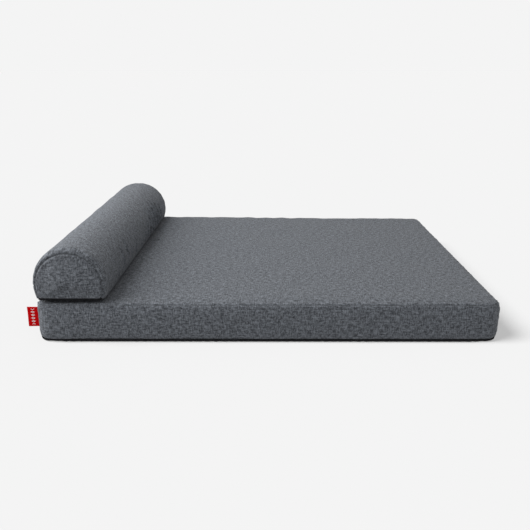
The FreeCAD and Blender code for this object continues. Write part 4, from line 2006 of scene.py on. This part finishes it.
@dataclass
class Studio:
    """The floor, lights and camera.

    Attributes:
        backdrop: The brightness of the floor and of the air round it.
        key: The strength of the key light on the bed.
        key_place: Where it hangs, on the bolster's side.
        key_size: How wide it is.
        floor_paint: The floor's own colour, in linear light.
        floor_sun: How much of the floor's brightness its own light gives, which the bed shades.
        floor_tilt: How far the floor's own light is from overhead, in degrees, on the same side.
        floor_turn: How far it is turned towards the near side, in degrees.
        floor_size: How wide it is, in degrees.
        lens: The camera's focal length, in millimetres on a 36 mm frame.
        camera_place: Where the camera stands.
        camera_pan: How far it is turned left, in degrees.
        camera_tilt: How far it looks down, in degrees.
    """

    backdrop: float = 0.905
    key: float = 75.0
    key_place: tuple[float, float, float] = (-1.45, -0.29, 1.32)
    key_size: float = 2.2
    floor_paint: float = 0.05
    floor_sun: float = 0.40
    floor_tilt: float = 42.0
    floor_turn: float = 15.0
    floor_size: float = 30.0
    lens: float = 41.3
    camera_place: tuple[float, float, float] = (-0.0034, -1.4419, 0.5149)
    camera_pan: float = 0.14
    camera_tilt: float = 18.06

    def build(self) -> None:
        """Makes the floor, the lights and the camera."""
        bpy.context.scene.view_settings.view_transform = "Standard"
        self._air()
        floor = self._floor()
        self._reach(self._key_light(), floor, "EXCLUDE")
        self._reach(self._floor_wash(), floor, "INCLUDE")
        self._camera()

    def _air(self) -> None:
        """Lights the scene evenly from all round."""
        world = bpy.data.worlds.new("studio")
        world.use_nodes = True
        world.node_tree.nodes["Background"].inputs["Color"].default_value = grey(*[self.backdrop] * 3)
        bpy.context.scene.world = world

    def _lamp(self, name: str, kind: str, strength: float, towards: Vector) -> bpy.types.Object:
        """Adds a light.

        Args:
            name: The light's name.
            kind: AREA or SUN.
            strength: Its strength.
            towards: The direction from the bed to it.

        Returns:
            The light.
        """
        lamp = bpy.data.lights.new(name, kind)
        lamp.energy = strength
        light = bpy.data.objects.new(name, lamp)
        light.rotation_euler = towards.to_track_quat("Z", "Y").to_euler()
        bpy.context.scene.collection.objects.link(light)
        return light

    def _key_light(self) -> bpy.types.Object:
        """Hangs the broad key light, which fades away from the bolster's side."""
        light = self._lamp("key", "AREA", self.key, Vector(self.key_place))
        light.location = self.key_place
        light.data.shape = "DISK"
        light.data.size = self.key_size
        light.visible_camera = False
        return light

    def _floor_wash(self) -> bpy.types.Object:
        """Adds the floor's own light, which gives the bed a soft shadow away from the bolster's side."""
        lean, turn = math.radians(self.floor_tilt), math.radians(self.floor_turn)
        towards = Vector((-math.sin(lean) * math.cos(turn), -math.sin(lean) * math.sin(turn), math.cos(lean)))
        strength = math.pi * self.floor_sun / self.floor_paint / math.cos(lean)
        light = self._lamp("floor_wash", "SUN", strength, towards)
        light.data.angle = math.radians(self.floor_size)
        return light

    def _reach(self, light: bpy.types.Object, floor: bpy.types.Object, state: str) -> None:
        """Sets whether a light reaches only the floor, or everything but the floor.

        Args:
            light: The light.
            floor: The floor.
            state: INCLUDE for only the floor, EXCLUDE for all the rest.
        """
        lit = bpy.data.collections.new(light.name + "_reach")
        lit.objects.link(floor)
        light.light_linking.receiver_collection = lit
        lit.collection_objects[0].light_linking.link_state = state

    def _floor(self) -> bpy.types.Object:
        """Lays a plain pale floor, as bright as the backdrop where nothing shades it.

        Returns:
            The floor.
        """
        points = np.array([[-1, -1, 0], [1, -1, 0], [1, 1, 0], [-1, 1, 0]]) * 60.0
        floor = mesh_piece("studio_floor", points, [(0, 1, 2, 3)])
        paint = bpy.data.materials.new("studio_floor")
        paint.use_nodes = True
        shader = paint.node_tree.nodes["Principled BSDF"]
        shader.inputs["Base Color"].default_value = grey(*[self.floor_paint] * 3)
        shader.inputs["Roughness"].default_value = 1.0
        shader.inputs["Specular IOR Level"].default_value = 0.0
        shader.inputs["Emission Color"].default_value = grey(1.0, 1.0, 1.0)
        glow = self.backdrop * (1 - self.floor_paint) - self.floor_sun
        shader.inputs["Emission Strength"].default_value = glow
        floor.data.materials.append(paint)
        return floor

    def _camera(self) -> None:
        """Places the camera in front of the long side, a little above the bed, looking down on it."""
        lens = bpy.data.cameras.new("camera")
        lens.sensor_width = 36.0
        lens.lens = self.lens
        camera = bpy.data.objects.new("camera", lens)
        camera.location = self.camera_place
        pan = Matrix.Rotation(math.radians(self.camera_pan), 4, "Z")
        pitch = Matrix.Rotation(math.radians(90 - self.camera_tilt), 4, "X")
        camera.rotation_euler = (pan @ pitch).to_euler()
        bpy.context.scene.collection.objects.link(camera)
        bpy.context.scene.camera = camera


def main() -> None:
    """Builds the bed from the inside out, then the studio, and notes the sizes."""
    logging.basicConfig(level=logging.INFO, format="%(name)s: %(message)s")
    dress_filling()
    Mattress().build()
    Bolster().build()
    Zip("mattress", "mattress", Travel.ALONG_X).build()
    Zip("bolster", "bolster", Travel.ALONG_Y).build()
    Fastening().build()
    SideLabel().build()
    Studio().build()


if __name__ == "__main__":
    main()
